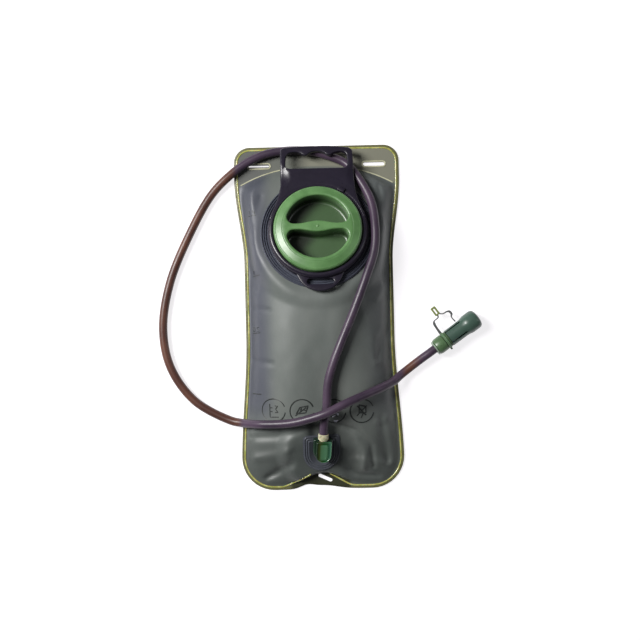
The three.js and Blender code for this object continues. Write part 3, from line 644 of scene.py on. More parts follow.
def half_width(y):
    top = BAG_HALF_LENGTH - TOP_CORNER
    bottom = -BAG_HALF_LENGTH + BOTTOM_CORNER
    if y > top:
        return side_half_width(top) - TOP_CORNER + math.sqrt(max(0, TOP_CORNER ** 2 - (y - top) ** 2))
    if y < bottom:
        reach = math.sqrt(max(0, BOTTOM_CORNER ** 2 - (bottom - y) ** 2))
        return side_half_width(bottom) - BOTTOM_CORNER + reach
    return side_half_width(y)


def notched(x, y):
    """The bottom edge is pulled up at the middle, and again just left of it."""
    low = clamp01((-150 - y) / 35)
    return y + 4 * low * math.exp(-((x / 20) ** 2)) + 3.6 * low ** 2 * math.exp(-(((x + 18) / 9.5) ** 2))


def top_weld(x):
    return 163 - 20 * (abs(x) / 84) ** 2.4


def bottom_weld(x):
    return -180 + 13 * math.exp(-((x / 26) ** 2))


def end_rise(distance, reach):
    return (1 - (1 - clamp01(distance / reach)) ** 2) ** 0.75


def neck_distance(x, y):
    return math.hypot(x, (y - NECK_Y) / math.cos(NECK_LEAN))


def port_distance(x, y):
    return math.hypot(x - PORT_AT.x / MM, y - PORT_AT.y / MM)


def film_top(x, y):
    """Height of the outside of the front film above the table, as in the frame."""
    from_top = top_weld(x) - y
    from_bottom = y - bottom_weld(x)
    from_side = half_width(y) - HEM - abs(x)
    if min(from_top, from_bottom, from_side) <= 0:
        return HEM_TOP
    across = abs(x) / (half_width(y) - HEM)
    crown = (1 - across ** 2.6) ** 0.8
    height = CROWN_HEIGHT * crown * end_rise(from_bottom, 190) * end_rise(from_top, 40)
    neck_plane = NECK_HEIGHT - (y - NECK_Y) * math.tan(NECK_LEAN) - HEM_TOP
    if y > NECK_Y:
        height = min(height, neck_plane)
    height = lerp(neck_plane, height, smooth((neck_distance(x, y) - 64) / 20))
    port_plane = PORT_AT.z / MM + (y - PORT_AT.y / MM) * math.tan(PORT_PITCH) - HEM_TOP
    port_plane -= (x - PORT_AT.x / MM) * math.tan(PORT_ROLL) / math.cos(PORT_PITCH)
    height = lerp(port_plane, height, smooth((port_distance(x, y) - 34) / 16))
    edge = clamp01(min(from_side / 11, from_top / 16, from_bottom / 2.8))
    return HEM_TOP + height * (1 - (1 - edge) ** 2.5)


FOLD_STRENGTH = 1.5

# Folds in the front film: points along it, its half width and its height (below zero is a valley).
FOLDS = [
    ([(21, -118), (35, -129), (43, -146), (43, -163)], 4.5, 1.3),
    ([(12, -112), (36, -120), (51, -137), (54, -160)], 3.5, -1.5),
    ([(62, -110), (66, -136), (69, -156)], 6, -1.8),
    ([(84, -100), (72, -108), (58, -112)], 5, 1.0),
    ([(-26, -150), (-42, -160), (-62, -172)], 5, -2.2),
    ([(-30, -138), (-50, -146), (-78, -150)], 6, 1.2),
    ([(-16, -118), (-44, -124), (-78, -127)], 5, -1.4),
    ([(20, -160), (34, -168), (60, -172)], 4, -1.6),
    ([(22, -150), (44, -154), (76, -160)], 5, 0.9),
    ([(-80, -40), (-68, -46), (-52, -47)], 4, -1.1),
    ([(-78, 14), (-68, 10), (-54, 9)], 3.5, -1.0),
    ([(-80, 60), (-70, 48), (-66, 30)], 3.5, -1.3),
    ([(-76, 92), (-70, 80), (-64, 66)], 4, 0.45),
    ([(78, 74), (72, 58), (70, 36)], 4, -1.5),
    ([(80, 40), (70, 30), (60, 18)], 4, 0.9),
    ([(78, -8), (66, -20), (60, -44)], 4.5, -1.2),
    ([(40, 20), (52, -10), (58, -50)], 7, 0.8),
    ([(-9, -120), (-14, -128), (-14, -140)], 4.5, -1.8),
    ([(-60, 130), (-64, 112), (-70, 96)], 5, -0.4),
    ([(66, 140), (70, 118), (74, 98)], 4, -1.2),
]


def line_distance(x, y, start, end):
    """How far many points are from a straight line, and the share of the line that each is nearest to."""
    ax, ay, bx, by = *start, *end
    length = (bx - ax) ** 2 + (by - ay) ** 2
    t = np.clip(((x - ax) * (bx - ax) + (y - ay) * (by - ay)) / length, 0, 1)
    return np.hypot(x - ax - t * (bx - ax), y - ay - t * (by - ay)), t


def fold_heights(x, y):
    """The folds' heights at many points at once."""
    total = np.zeros(len(x))
    for points, width, height in FOLDS:
        nearest = np.full(len(x), 1e9)
        for number, (start, end) in enumerate(zip(points, points[1:])):
            distance, t = line_distance(x, y, start, end)
            along = (number + t) / (len(points) - 1)
            fade = 0.55 + 0.45 * np.sin(np.pi * along)
            nearest = np.minimum(nearest, distance / fade)
        total += FOLD_STRENGTH * height * np.exp(-((nearest / width) ** 2))
    return total


def film_detail(x, y):
    """Soft unevenness of the filled film: slow waves, small ones, and puckers along the side welds."""
    slow = 0.9 * noise.noise(Vector((x / 38, y / 55, 0.3)))
    small = 0.28 * noise.noise(Vector((x / 13, y / 19, 4.1)))
    side = half_width(y) - HEM - abs(x)
    near = math.exp(-((side - 5) / 6) ** 2) if side > 0 else 0
    pucker = 0.75 * near * noise.noise(Vector((math.copysign(3, x), y / 9, 7.7)))
    return slow + small + pucker


BOTTOM_ROW = range(-48, 49, 4)


def bag_outline(steps=10):
    """Up the right side, down the left one and back along the bottom row."""
    right = []
    for step in range(steps + 1):
        angle = math.radians(90 * step / steps)
        right.append(-BAG_HALF_LENGTH + BOTTOM_CORNER * (1 - math.cos(angle)))
    right += [y for y in range(-146, 166, 4)]
    for step in range(steps, -1, -1):
        angle = math.radians(90 * step / steps)
        right.append(BAG_HALF_LENGTH - TOP_CORNER * (1 - math.cos(angle)))
    points = [(half_width(y), y) for y in right] + [(-half_width(y), y) for y in right[::-1]]
    points += [(x, notched(x, -BAG_HALF_LENGTH)) for x in BOTTOM_ROW]
    return points


def tilted_circle(frame_matrix, radius, steps=96):
    """A circle on a tilted frame, seen from straight above."""
    points = []
    for step in range(steps):
        angle = 2 * math.pi * step / steps
        at = frame_matrix @ Vector((radius * MM * math.cos(angle), radius * MM * math.sin(angle), 0))
        points.append((at.x / MM, at.y / MM))
    return points


HOSE_CLEARANCE = 4.7


def hose_floor(x, y):
    """The height that the film stays under where the hose lies over it."""
    limit = np.full(len(x), 1e9)
    for p in HOSE_PATH[::2]:
        px, py, pz = (value / MM for value in p)
        if abs(px) < 95 and abs(py) < 190:
            distance = np.hypot(x - px, y - py)
            below = pz - HOSE_CLEARANCE + np.maximum(0, distance - 2) * 0.6
            limit = np.where(distance < 9, np.minimum(limit, below), limit)
    return limit


def free_of_fittings(x, y, lift):
    """How much the film may fold at a point: not where it is welded flat, nor at the neck and the port."""
    return (smooth(lift / 5) * smooth((neck_distance(x, y) - 60) / 12)
            * smooth((port_distance(x, y) - 27) / 10))


def front_film_shape():
    outlet = SOCKET @ Matrix.Translation((0, -0.0015, 0))
    holes = [tilted_circle(NECK, 39.2), tilted_circle(outlet, 2.8, 20)]
    holes += [slot_outline(*slot) for slot in (HANG_SLOTS[0], LEFT_SLOT, TAB_SLOT)]
    levels = [(0.25, 1.1), (0, 1.4), (0, 2.0), (0.3, HEM_TOP)]
    verts, faces = moulding(bag_outline(), holes, levels, 2.1, [(0, 1.1), (0, HEM_TOP)], open_below=True)
    x = np.array([v[0] for v in verts])
    y = np.array([v[1] for v in verts])
    rest = np.array([film_top(a, b) for a, b in zip(x, y)])
    mask = np.array([free_of_fittings(a, b, c - HEM_TOP) for a, b, c in zip(x, y, rest)])
    detail = fold_heights(x, y) + np.array([film_detail(a, b) for a, b in zip(x, y)])
    height = np.minimum(rest + mask * detail, np.maximum(hose_floor(x, y), HEM_TOP))
    height = np.maximum(height, HEM_TOP)
    edge = np.array([v[2] for v in verts]) - HEM_TOP
    inner = (np.abs(x) < 60) & (rest - HEM_TOP > 1)
    z = np.where(edge < -0.01, np.where(inner, rest + edge, HEM_TOP + edge), height)
    return [(a, b, c) for a, b, c in zip(x, y, z)], faces


def outline_distance(x, y, outline):
    """How far inside the outline each point lies."""
    nearest = np.full(len(x), 1e9)
    for start, end in zip(outline, outline[1:] + outline[:1]):
        if math.dist(start, end) > 1e-4:
            nearest = np.minimum(nearest, line_distance(x, y, start, end)[0])
    return nearest


def film_material():
    """Smoky film, olive where two films are welded flat. Painted light makes the welded flats lighter, for
    the white floor showing through, and painted shade makes the film bluer and darker down the sides.
    """
    made = Nodes("bag_film")
    cloud = made.noise(14, 5, (1, 0.6, 1), 0.6)
    centre = made.ramp(cloud, [(0.3, rgb(84, 90, 87)), (0.5, rgb(94, 99, 96)), (0.7, rgb(104, 108, 104))])
    # Painted shade: bluer and darker down the sides.
    sides = made.mix(made.attribute("side"), centre, rgb(70, 73, 82))
    # Painted light: lighter where two films are welded flat, for the white floor showing through.
    flat = made.mix(made.attribute("flat"), sides, rgb(116, 116, 102))
    # Painted shadow: darkest where the shade attribute is high.
    shaded = made.mix(made.attribute("shade"), flat, rgb(36, 41, 40))
    hem = made.mix(made.attribute("hem"), shaded, rgb(92, 92, 58))
    made.colour(made.mix(made.attribute("tab"), hem, rgb(42, 44, 24)))
    made.roughness(made.spread(made.noise(70, 4), 0.4, 0.56))
    made.bump(made.noise(420, 4, None, 0.65), 0.16, 0.0003)
    made.set(Specular_IOR_Level=0.5, Alpha=0.93)
    return made.material


def back_film_material():
    stops = [(0.3, rgb(74, 78, 74)), (0.7, rgb(96, 99, 92))]
    return surface("back_film", ((16, 4), stops), ((90, 3), 0.34, 0.5), ((400, 4), 0.15, 0.0003))


def film_shade(x, y, gusset):
    """Where painted shade makes the film darkest: a shadow beside the hose's end, darker towards the bottom,
    and the hose's shadow in the left gusset.
    """
    beside = math.exp(-(((x + 12.5) / 5) ** 2) - (max(0, abs(y + 122) - 13) / 5) ** 2)
    low = 0.45 * smooth((-y - 112) / 30)
    corner = 0.35 * gusset * smooth((-25 - x) / 10)
    return max(beside, low, corner)


def painted_side_shade(x, y):
    """Where painted shade turns the film bluer and darker: down the left side, and less so down the right
    one.
    """
    above = smooth((y + 125) / 40)
    return above * max(smooth((-x - 44) / 20), 0.3 * smooth((x - 40) / 22))


def front_film():
    shape = front_film_shape()
    made = piece("front_film", shape, TABLE, film_material(), "bag", 70, "front_panel")
    points = [(v[0], v[1]) for v in shape[0]]
    x = np.array([p[0] for p in points])
    y = np.array([p[1] for p in points])
    distance = outline_distance(x, y, bag_outline())
    gusset = [smooth((b - top_weld(a)) / 2.5 + 0.5) for a, b in points]
    tab = [smooth((bottom_weld(a) + 1 - b) / 2) * smooth((34 - abs(a + 3)) / 4) for a, b in points]
    # Weaker on the left, where the hose's painted shadow falls on the gusset.
    paint(made, "flat", [g * (0.45 + 0.55 * smooth((a + 30) / 25)) for (a, _), g in zip(points, gusset)])
    paint(made, "tab", tab)
    paint(made, "hem", [1 - smooth((d - 3.4) / 0.8) for d in distance])
    paint(made, "side", [painted_side_shade(a, b) for a, b in points])
    paint(made, "shade", [film_shade(a, b, g) for (a, b), g in zip(points, gusset)])
    return made


def back_film():
    holes = [slot_outline(*slot) for slot in (*HANG_SLOTS, TAB_SLOT)]
    shape = moulding(bag_outline(), holes, edge_levels(0, 1, 0.3, 0.2, 2), 9)
    piece("back_film", shape, TABLE, back_film_material(), "bag", 70, "back_panel")


FRONT_FILM = front_film()
back_film()


def film_tree():
    mesh = FRONT_FILM.data
    polygons = [tuple(p.vertices) for p in mesh.polygons]
    return BVHTree.FromPolygons([v.co.copy() for v in mesh.vertices], polygons)


FILM_TREE = film_tree()


def on_film(x, y, lift=0.0):
    """A point on the front film, in millimetres."""
    hit = FILM_TREE.ray_cast(Vector((x * MM, y * MM, 0.2)), Vector((0, 0, -1)))[0]
    return (x, y, (hit.z / MM if hit else HEM_TOP) + lift)


def bead_material():
    """The welded bead: clear yellow-green plastic with a bright wet edge."""
    stops = [(0.3, rgb(132, 134, 66)), (0.5, rgb(160, 160, 88)), (0.7, rgb(190, 188, 128))]
    return surface("weld_bead", ((120, 3), stops), ((300, 2), 0.18, 0.36), ((700, 2), 0.08, 0.0001),
                   Coat_Weight=0.4, Coat_Roughness=0.15, Subsurface_Weight=0.2, Subsurface_Scale=0.002)


def weld_material():
    stops = [(0.3, rgb(158, 157, 130)), (0.7, rgb(188, 187, 160))]
    return surface("weld_line", ((90, 3), stops), ((260, 2), 0.25, 0.4), ((700, 2), 0.1, 0.0001))


def weld_bead():
    """The bead runs inside the hem, and turns up on both sides of the bottom tab."""
    ring = inset(counterclockwise(bag_outline()), 3.3)
    sides, bottom = ring[:-len(BOTTOM_ROW)], ring[-len(BOTTOM_ROW):]
    start = [(6.8, -168.3), (18, -174.6), (30, -180.8)]
    end = [(-36.6, -179.2), (-26, -173.4), (-13.6, -167)]
    path = start + [p for p in bottom if p[0] >= 38] + sides + [p for p in bottom if p[0] <= -44] + end
    points = [Vector((x, y, 0)) for x, y in path]
    even, _ = evenly(smooth_curve(points, 4), 620)
    draped = [on_film(p.x, p.y, 0.12) for p in even]
    shape = swept(draped, oval(0.85, 0.42, 10))
    piece("weld_bead", shape, TABLE, bead_material(), "bag", 80)


def weld_lines():
    """A line along each gusset's lower weld, and a raised rim round each hang slot."""
    parts = []
    for side in (1, -1):
        line = [Vector((side * x, top_weld(x), 0)) for x in range(34, 84, 2)]
        parts.append(swept([on_film(p.x, p.y, 0.15) for p in line], oval(0.6, 0.28, 8)))
    for slot in HANG_SLOTS:
        rim = inset(counterclockwise(slot_outline(*slot)), -0.9)
        parts.append(swept([(x, y, HEM_TOP + 0.12) for x, y in rim], oval(0.8, 0.42, 10), closed=True))
    piece("weld_lines", joined(*parts), TABLE, weld_material(), "bag", 80)


weld_bead()
weld_lines()

# ---------------- prints and pale marks on the film


def mark_material(name, dark, light, low, high):
    stops = [(0.35, rgb(*dark)), (0.7, rgb(*light))]
    return surface(name, ((500, 3), stops), ((700, 2), low, high), ((1500, 2), 0.1, 0.00005))


def arc(x, y, radius, start, end, steps=40):
    angles = [math.radians(start + (end - start) * step / steps) for step in range(steps + 1)]
    return [(x + radius * math.cos(a), y + radius * math.sin(a)) for a in angles]


def dense(line, step=1.2):
    path = [line[0]]
    for a, b in zip(line, line[1:]):
        count = max(1, int(math.dist(a, b) / step))
        path += [(lerp(a[0], b[0], k / count), lerp(a[1], b[1], k / count)) for k in range(1, count + 1)]
    return path


def inked(lines, width):
    return [swept([on_film(x, y, 0.05) for x, y in dense(line)], oval(width, 0.05, 6)) for line in lines]


def fill_level_mark(x, y):
    return [[(x - 4, y + 7), (x - 4, y - 7), (x + 5, y - 7)], [(x - 4, y + 3), (x - 1.5, y + 3)],
            [(x + 1, y + 5), (x + 4.6, y + 5), (x + 2.2, y + 1.5), (x + 4.6, y - 2), (x + 1, y - 2)],
            [(x - 4, y - 1), (x - 1.5, y - 1)]]


def leaf_mark(x, y):
    upper = [(x - 6, y - 3), (x - 2, y + 4), (x + 6.5, y + 5.5), (x + 4, y - 2), (x - 6, y - 3)]
    veins = [[(x - 7, y - 5), (x + 4.5, y + 4)], [(x - 1.5, y - 0.4), (x - 0.5, y + 3.2)],
             [(x + 1, y + 1.4), (x + 4.4, y + 0.6)]]
    return [upper, *veins]


def snow_mark(x, y):
    lines = []
    for angle in (0, 60, 120):
        dx, dy = 7 * math.cos(math.radians(angle)), 7 * math.sin(math.radians(angle))
        lines.append([(x - dx, y - dy), (x + dx, y + dy)])
    return lines


def no_brush_mark(x, y):
    return [[(x - 5.5, y - 5), (x + 5, y + 5.5)], [(x - 5, y + 5.5), (x + 4.5, y - 5)],
            [(x - 3, y + 6.5), (x - 3, y - 2), (x + 4, y - 2), (x + 4, y + 4.5), (x - 3, y + 6.5)],
            [(x - 1, y - 7.5), (x + 1.5, y - 2)]]


DIGITS = {
    "0": [[(0, 0), (2.2, 0), (2.2, 4), (0, 4), (0, 0)]],
    "1": [[(0.4, 3.2), (1.3, 4), (1.3, 0)]],
    "5": [[(2.2, 4), (0, 4), (0, 2.3), (2.2, 2.3), (2.2, 0), (0, 0)]],
    ".": [[(0.2, 0), (0.2, 0.5)]],
}


def number_marks(text, x, y, lean=0.1):
    lines = []
    for letter in text:
        for stroke in DIGITS[letter]:
            lines.append([(x + a, y + b + lean * a) for a, b in stroke])
        x += 1.4 if letter == "." else 3.2
    return lines


def film_prints():
    """Four ringed care signs, three fill levels with their numbers, and one plain mark."""
    marks = [(fill_level_mark, -50.9, -96.9), (leaf_mark, -21.2, -97.6), (snow_mark, 12.4, -98.4),
             (no_brush_mark, 41.7, -99.1)]
    lines = []
    for draw, x, y in marks:
        lines.append(arc(x, y, 12.4, 20, 350))
        lines += draw(x, y)
    fine = []
    for text, x, y in (("1.5", -73.4, 111), ("1", -70.4, 47.6), ("0.5", -71.6, -13.5)):
        fine += number_marks(text, x, y)
        fine.append([(x - 0.5, y - 2), (x + 8, y - 1.2)])
    fine.append([(-74, -80), (-64, -80)])
    shape = joined(*inked(lines, 0.75), *inked(fine, 0.5))
    marking = mark_material("film_print", (16, 19, 18), (34, 40, 37), 0.4, 0.6)
    piece("film_prints", shape, TABLE, marking, "bag", 80)


def white_marks():
    """A few pale strokes beside the hose, above the port."""
    strokes = [
        [(10.2, -104.6), (13.2, -103.2)], [(14.4, -101.4), (14.9, -103.6)], [(16.2, -100.8), (16.8, -103.2)],
        [(11.8, -109), (16.6, -108.6)], [(12.6, -109.9), (15.4, -109.7)],
    ]
    marking = mark_material("pale_strokes", (200, 200, 214), (240, 240, 248), 0.3, 0.5)
    piece("pale_strokes", joined(*inked(strokes, 0.95)), TABLE, marking, "bag", 80)


film_prints()
white_marks()

# ---------------- neck flange, collar and handle


def stacked(rings, step=None):
    """A solid from closed counterclockwise rings of (x, y, z) points, from the bottom up."""
    verts, faces, loops = [], [], []
    for ring in rings:
        loops.append(list(range(len(verts), len(verts) + len(ring))))
        verts.extend(ring)
    for low, high in zip(loops, loops[1:]):
        for side in range(len(low)):
            after = (side + 1) % len(low)
            faces.append((low[side], low[after], high[after], high[side]))
    cap(verts, faces, [loops[-1]], True, step)
    cap(verts, faces, [loops[0]], False)
    return verts, faces


def thread(inner, outer, start, turns, phase, pitch=6.0):
    """A screw-thread ridge whose ends run out smoothly."""
    verts, faces = [], []
    steps = int(turns * 72)
    section = [(inner, -0.8), (outer, -0.38), (outer, 0.38), (inner, 0.8)]
    for step in range(steps + 1):
        angle = phase + 2 * math.pi * step / 72
        height = start + pitch * step / 72
        fade = smooth(min(step, steps - step) / 6)
        for radius, side in section:
            reach = lerp(inner, radius, fade)
            verts.append((reach * math.cos(angle), reach * math.sin(angle), height + side))
    turn = 1 if outer > inner else -1
    for step in range(steps):
        for side in range(4):
            a, b = step * 4 + side, step * 4 + (side + 1) % 4
            faces.append((a, a + 4, b + 4, b)[::turn])
    last = steps * 4
    faces.append((0, 1, 2, 3)[::turn])
    faces.append((last + 3, last + 2, last + 1, last)[::turn])
    return verts, faces


FLANGE = moulded("flange_plastic", rgb(64, 67, 78), 0.24, 0.05, variation=0.12)
PLATE = moulded("plate_plastic", rgb(66, 69, 76), 0.3, 0.05, variation=0.12)
COLLAR = moulded("collar_plastic", rgb(30, 26, 38), 0.3, 0.04, 0.45, 0.14)


def ridge(radius, base, height, half):
    """A rounded ridge in a lathe profile that runs inwards over it."""
    return [(radius + half, base), (radius + half * 0.55, base + height * 0.75), (radius, base + height),
            (radius - half * 0.55, base + height * 0.75), (radius - half, base)]


def neck_flange():
    """The welded ring with three ridges, and the neck tube with its outer thread."""
    profile = [(38.7, 0.3), (60, 0.3), (60.5, 0.7), (60.5, 1.4)]
    for radius in (59.2, 57, 54.8):
        profile += ridge(radius, 1.7, 1.3, 0.75)
    profile += [
        (41.8, 2), (41.2, 2.3), (41, 2.8), (41, 14.5), (40.5, 15), (38.8, 15), (38.3, 14.5), (38.3, 0.7),
    ]
    shape = joined(lathe(profile, 128), thread(40.6, 42.9, 4.2, 1.5, 0))
    piece("neck_ring", shape, NECK, FLANGE, "bag", 50, "neck_flange")


# Both are a start point and then the (control, end) pairs of quadratic curves.
FINGER_SLOT = [
    (-27.5, 67.6), ((0, 67.6), (27.5, 67.6)), ((32.8, 67.6), (32.8, 72.5)), ((32.8, 77), (32.4, 81)),
    ((31.8, 86.2), (25.5, 86.2)), ((20.4, 86), (17.2, 83.8)), ((14, 80.8), (10.4, 83.4)),
    ((6.8, 87), (0.6, 87)), ((-5, 87), (-8.4, 84)), ((-11.6, 81.2), (-15, 83.8)),
    ((-18.4, 86.6), (-22.5, 86.4)), ((-31.8, 86.4), (-32.3, 79.5)), ((-32.8, 76), (-32.8, 72.5)),
    ((-32.8, 67.6), (-27.5, 67.6)),
]
HANDLE_SIDE = [
    (50.5, 12), ((41, 34), (40, 46)), ((39, 66), (38.7, 86)), ((38.3, 89.5), (33.5, 90.8)),
    ((16, 93.6), (0, 93)), ((-16, 93.6), (-33.5, 91.8)), ((-38.3, 91), (-38.3, 87)),
    ((-38.3, 66), (-38.3, 48)), ((-40.5, 34), (-50.5, 12)),
]


HANDLE_BOTTOM = 8.8
HANDLE_TOP = 13.3


def dished(x, y, z):
    """The handle's upper face sinks in a bowl on its left shoulder and less on its right one."""
    left_bowl = max(0, 1 - ((x + 39.5) / 11) ** 2 - ((y - 58.5) / 12.5) ** 2) ** 0.9
    right_bowl = max(0, 1 - ((x - 41) / 8) ** 2 - ((y - 60) / 14) ** 2)
    upper = smooth((z - 9.6) / 2)
    return x, y, z - upper * (2.9 * left_bowl + 1.4 * right_bowl)


def handle_shape():
    outline = quadratic(HANDLE_SIDE, 10) + arc(0, 0, 48.4, 166, 14, 60)
    slot = quadratic(FINGER_SLOT, 10)[:-1]
    levels = edge_levels(HANDLE_BOTTOM, HANDLE_TOP, 0.7, 1.5, 4)
    slot_levels = edge_levels(HANDLE_BOTTOM, HANDLE_TOP, 0.5, 1.1, 3)
    return shaped(moulding(outline, [slot], levels, 2.2, slot_levels), dished)


def strap_loop_shape():
    bottom, top = 5.2, 8.4
    side = [(-24, -44), ((-20, -56.5), (-12, -61.5)), ((1.5, -69), (15, -61.5)), ((23, -56.5), (27, -43))]
    outline = quadratic(side, 10) + arc(0, 0, 48.6, -57, -119, 20)
    slot = slot_outline(1.5, -55, 28, 6)
    return moulding(outline, [slot], edge_levels(bottom, top, 0.5, 1.1, 3), None,
                    edge_levels(bottom, top, 0.4, 0.8, 3))


def stop_lug():
    shape = block((-3.6, -2.3, 10), (3.6, 2.3, 15.6), 1.1)
    return moved(shape, Matrix.Rotation(math.radians(-31), 4, "Z") @ Matrix.Translation((0, 49.6, 0)))


def collar():
    profile = [
        (47.3, 2.4), (51.7, 2.4), (52.2, 2.9), (52.2, 9.4), (52, 10.5), (51.4, 11.6), (50.5, 12.6),
        (49.4, 13.2), (48.6, 13.3), (47.5, 13.2), (47, 12.7), (47, 2.7),
    ]
    shape = joined(lathe(profile, 128), handle_shape(), strap_loop_shape(), stop_lug())
    piece("collar_and_handle", shape, NECK, COLLAR, "bag", 38, "handle_collar")


neck_flange()
collar()

# ---------------- cap

POCKET_RADIUS = 34
POCKET_CORNER = 7.2
POCKET_BASE = 10.5
POCKET_MIDDLE_Y = 1
DECK_BOTTOM = 17.8


def bar_half_width(x):
    wave = math.cos(math.pi * min(abs(x), 21) / 21)
    return 4.6 + 1.4 * wave


def pocket_outline(side):
    """One finger pocket: a segment of a circle with round corners and a waved edge along the grip bar."""
    corner_x = math.sqrt((POCKET_RADIUS - POCKET_CORNER) ** 2 - POCKET_BASE ** 2)
    start = math.degrees(math.atan2(POCKET_BASE, corner_x))
    points = arc(0, 0, POCKET_RADIUS, start, 180 - start, 48)
    points += arc(-corner_x, POCKET_BASE, POCKET_CORNER, 180 - start, 270, 12)[1:]
    points += [(x, bar_half_width(x)) for x in range(-20, 21, 2)]
    points += arc(corner_x, POCKET_BASE, POCKET_CORNER, -90, start, 12)[:-1]
    return counterclockwise([(x, side * y + POCKET_MIDDLE_Y) for x, y in points])


def cap_material():
    """Green plastic with painted shade: darker down the pockets and nearly black in the corner that the
    light leaves.
    """
    made = Nodes("cap_plastic")
    flow = made.noise(60, 4, (1, 1, 1), 0.55)
    lit = made.ramp(flow, [(0.3, rgb(72, 110, 62)), (0.5, rgb(82, 121, 71)), (0.72, rgb(92, 132, 80))])
    pocket_shade = made.mix(made.attribute("pocket_shade"), lit, rgb(54, 78, 47))
    made.colour(made.mix(made.attribute("painted_corner_shadow"), pocket_shade, rgb(14, 22, 11)))
    made.roughness(made.spread(made.noise(380, 3), 0.34, 0.46))
    made.bump(made.noise(1500, 2), 0.05, 0.0001)
    made.set(Specular_IOR_Level=0.6, Coat_Weight=0.2, Coat_Roughness=0.3)
    return made.material


def cap_skirt_profile():
    return [
        (44, 6.5), (44.5, 6), (45.5, 6), (46, 6.5), (46, 15), (45.8, 16), (45.2, 16.9), (44.2, 17.5),
        (42, 18.25), (39.6, 19.15), (37.9, 19.85), (37.2, 20.05), (36.9, 20.0), (36.6, 19.85),
        (36.5, DECK_BOTTOM), (44, DECK_BOTTOM),
    ]


def cap_deck_shape():
    pockets = [pocket_outline(1), pocket_outline(-1)]
    rim = [(0, DECK_BOTTOM), (0, 19.9), (0.2, 20.1), (0.6, 20.25)]
    wall = [
        (-2.6, 0.6), (-1.3, 0.95), (-0.5, 1.9), (-0.15, 3.4), (0, 6), (0, 18.9), (0.15, 19.4), (0.5, 19.85),
        (1.1, 20.15), (1.8, 20.25),
    ]
    top = moulding(arc(0, 0, 36.9, 0, 358, 179), pockets, rim, 3, wall, open_below=True)
    floors = [moulding(inset(pocket, 2.6), [], [(0, 0.6)], 2.5, None, True) for pocket in pockets]
    return joined(top, *floors)


def pocket_north(y):
    """How far towards the handle a point is within its pocket."""
    return y - 20 if y > POCKET_MIDDLE_Y else y + 14


def cap_cup():
    """The cup under the deck that the pockets sink into."""
    return lathe([(0, -1.2), (36.2, -1.2), (37, -0.4), (37, DECK_BOTTOM)], 96, closed=False)


def gate_mark():
    """The small moulding gate in the middle of the grip bar."""
    profile = [(0, 20.3), (1.5, 20.3), (1.5, 20.45), (1.2, 20.7), (0.5, 20.8), (0, 20.8)]
    return moved(lathe(profile, 24, closed=False), Matrix.Translation((0, POCKET_MIDDLE_Y, 0)))


def pocket_depth(point):
    """0 on the cap's outside, 1 well down in a pocket."""
    if math.hypot(point.x, point.y - POCKET_MIDDLE_Y) > POCKET_RADIUS + 1:
        return 0
    return smooth((19.4 - point.z) / 3)


def screw_cap():
    inner_thread = thread(44.4, 42.4, 8.7, 1, math.pi / 2)
    shape = joined(lathe(cap_skirt_profile(), 144), cap_deck_shape(), cap_cup(), gate_mark(), inner_thread)
    made = piece("screw_cap", shape, NECK, cap_material(), "cap", 42, "cap_shell")
    local = [NECK.inverted() @ v.co / MM for v in made.data.vertices]
    depth = [pocket_depth(v) for v in local]
    shadow = [smooth((-v.x - 2 + 0.9 * pocket_north(v.y)) / 17) for v in local]
    # Painted shade down the pockets, and a painted shadow in each pocket's corner away from the light.
    paint(made, "pocket_shade", depth)
    paint(made, "painted_corner_shadow", [0.9 * d * dark for d, dark in zip(depth, shadow)])


def cap_seal():
    profile = [
        (38.6, 15.3), (41.6, 15.3), (41.8, 15.6), (41.8, 17.2), (41.6, 17.5), (38.6, 17.5), (38.4, 17.2),
        (38.4, 15.6),
    ]
    silicone = gasket_rubber("seal_silicone", rgb(222, 224, 216), 0.6)
    piece("cap_seal_ring", lathe(profile, 96), NECK, silicone, "cap_seal", stands_for="cap_gasket")


screw_cap()
cap_seal()

# ---------------- hose port


def port_flange_outline(distance):
    """The plate's outline moved inwards: square at its north end, half an oval at its south end."""
    half, end = 19.8 - distance, 20.3 - distance
    corner = max(0.8, 5 - distance * 0.5)
    north = quadratic([
        (half, 0), ((half, (end - corner) / 2), (half, end - corner)), ((half, end), (half - corner, end)),
        ((0, end), (-half + corner, end)), ((-half, end), (-half, end - corner)),
        ((-half, (end - corner) / 2), (-half, 0)),
    ], 8)
    angles = [math.radians(180 + 180 * step / 48) for step in range(1, 48)]
    return north + [(half * math.cos(a), end * math.sin(a)) for a in angles]


def port_flange():
    """Three welding ribs run round the plate inside its edge."""
    levels = [(0.3, 0.3), (0, 0.6), (0, 0.8), (0.3, 0.95)]
    base = 0.95
    for centre in (1.7, 4.0, 6.3):
        top = base + 0.75
        shoulder = top - 0.15
        levels += [(centre - 0.9, base), (centre - 0.45, shoulder), (centre, top), (centre + 0.45, shoulder)]
        base += 0.2
        levels.append((centre + 0.9, base))
    rings = [[(x, y, z) for x, y in port_flange_outline(distance)] for distance, z in levels]
    piece("port_weld_plate", stacked(rings), PORT, PLATE, "bag", 50, "port_flange")


def bullnose(half, north, south, soft=1.2):
    """A bar outline with a flat, softened north end and a round south end."""
    low = south + half
    flat_end = softened([(half, low), (half, north), (-half, north), (-half, low)], soft, 4, closed=False)
    return counterclockwise(flat_end + arc(0, low, half, 180, 360, 40)[1:-1])


def port_material():
    """Deep green gloss moulding: flow bands across it and a clear skin."""
    colour = rgb(22, 42, 29)
    flow = (60, 4, (1.6, 0.35, 1), 0.6)
    stops = [(0.3, scaled(colour, 0.7)), (0.5, colour), (0.68, scaled(colour, 1.35))]
    ripple = ((240, 3, (1, 0.5, 1)), 0.05, 0.0003)
    return surface("port_green", (flow, stops), ((260, 3), 0.126, 0.27), ripple, Coat_Weight=0.7,
                   Coat_Roughness=0.06)


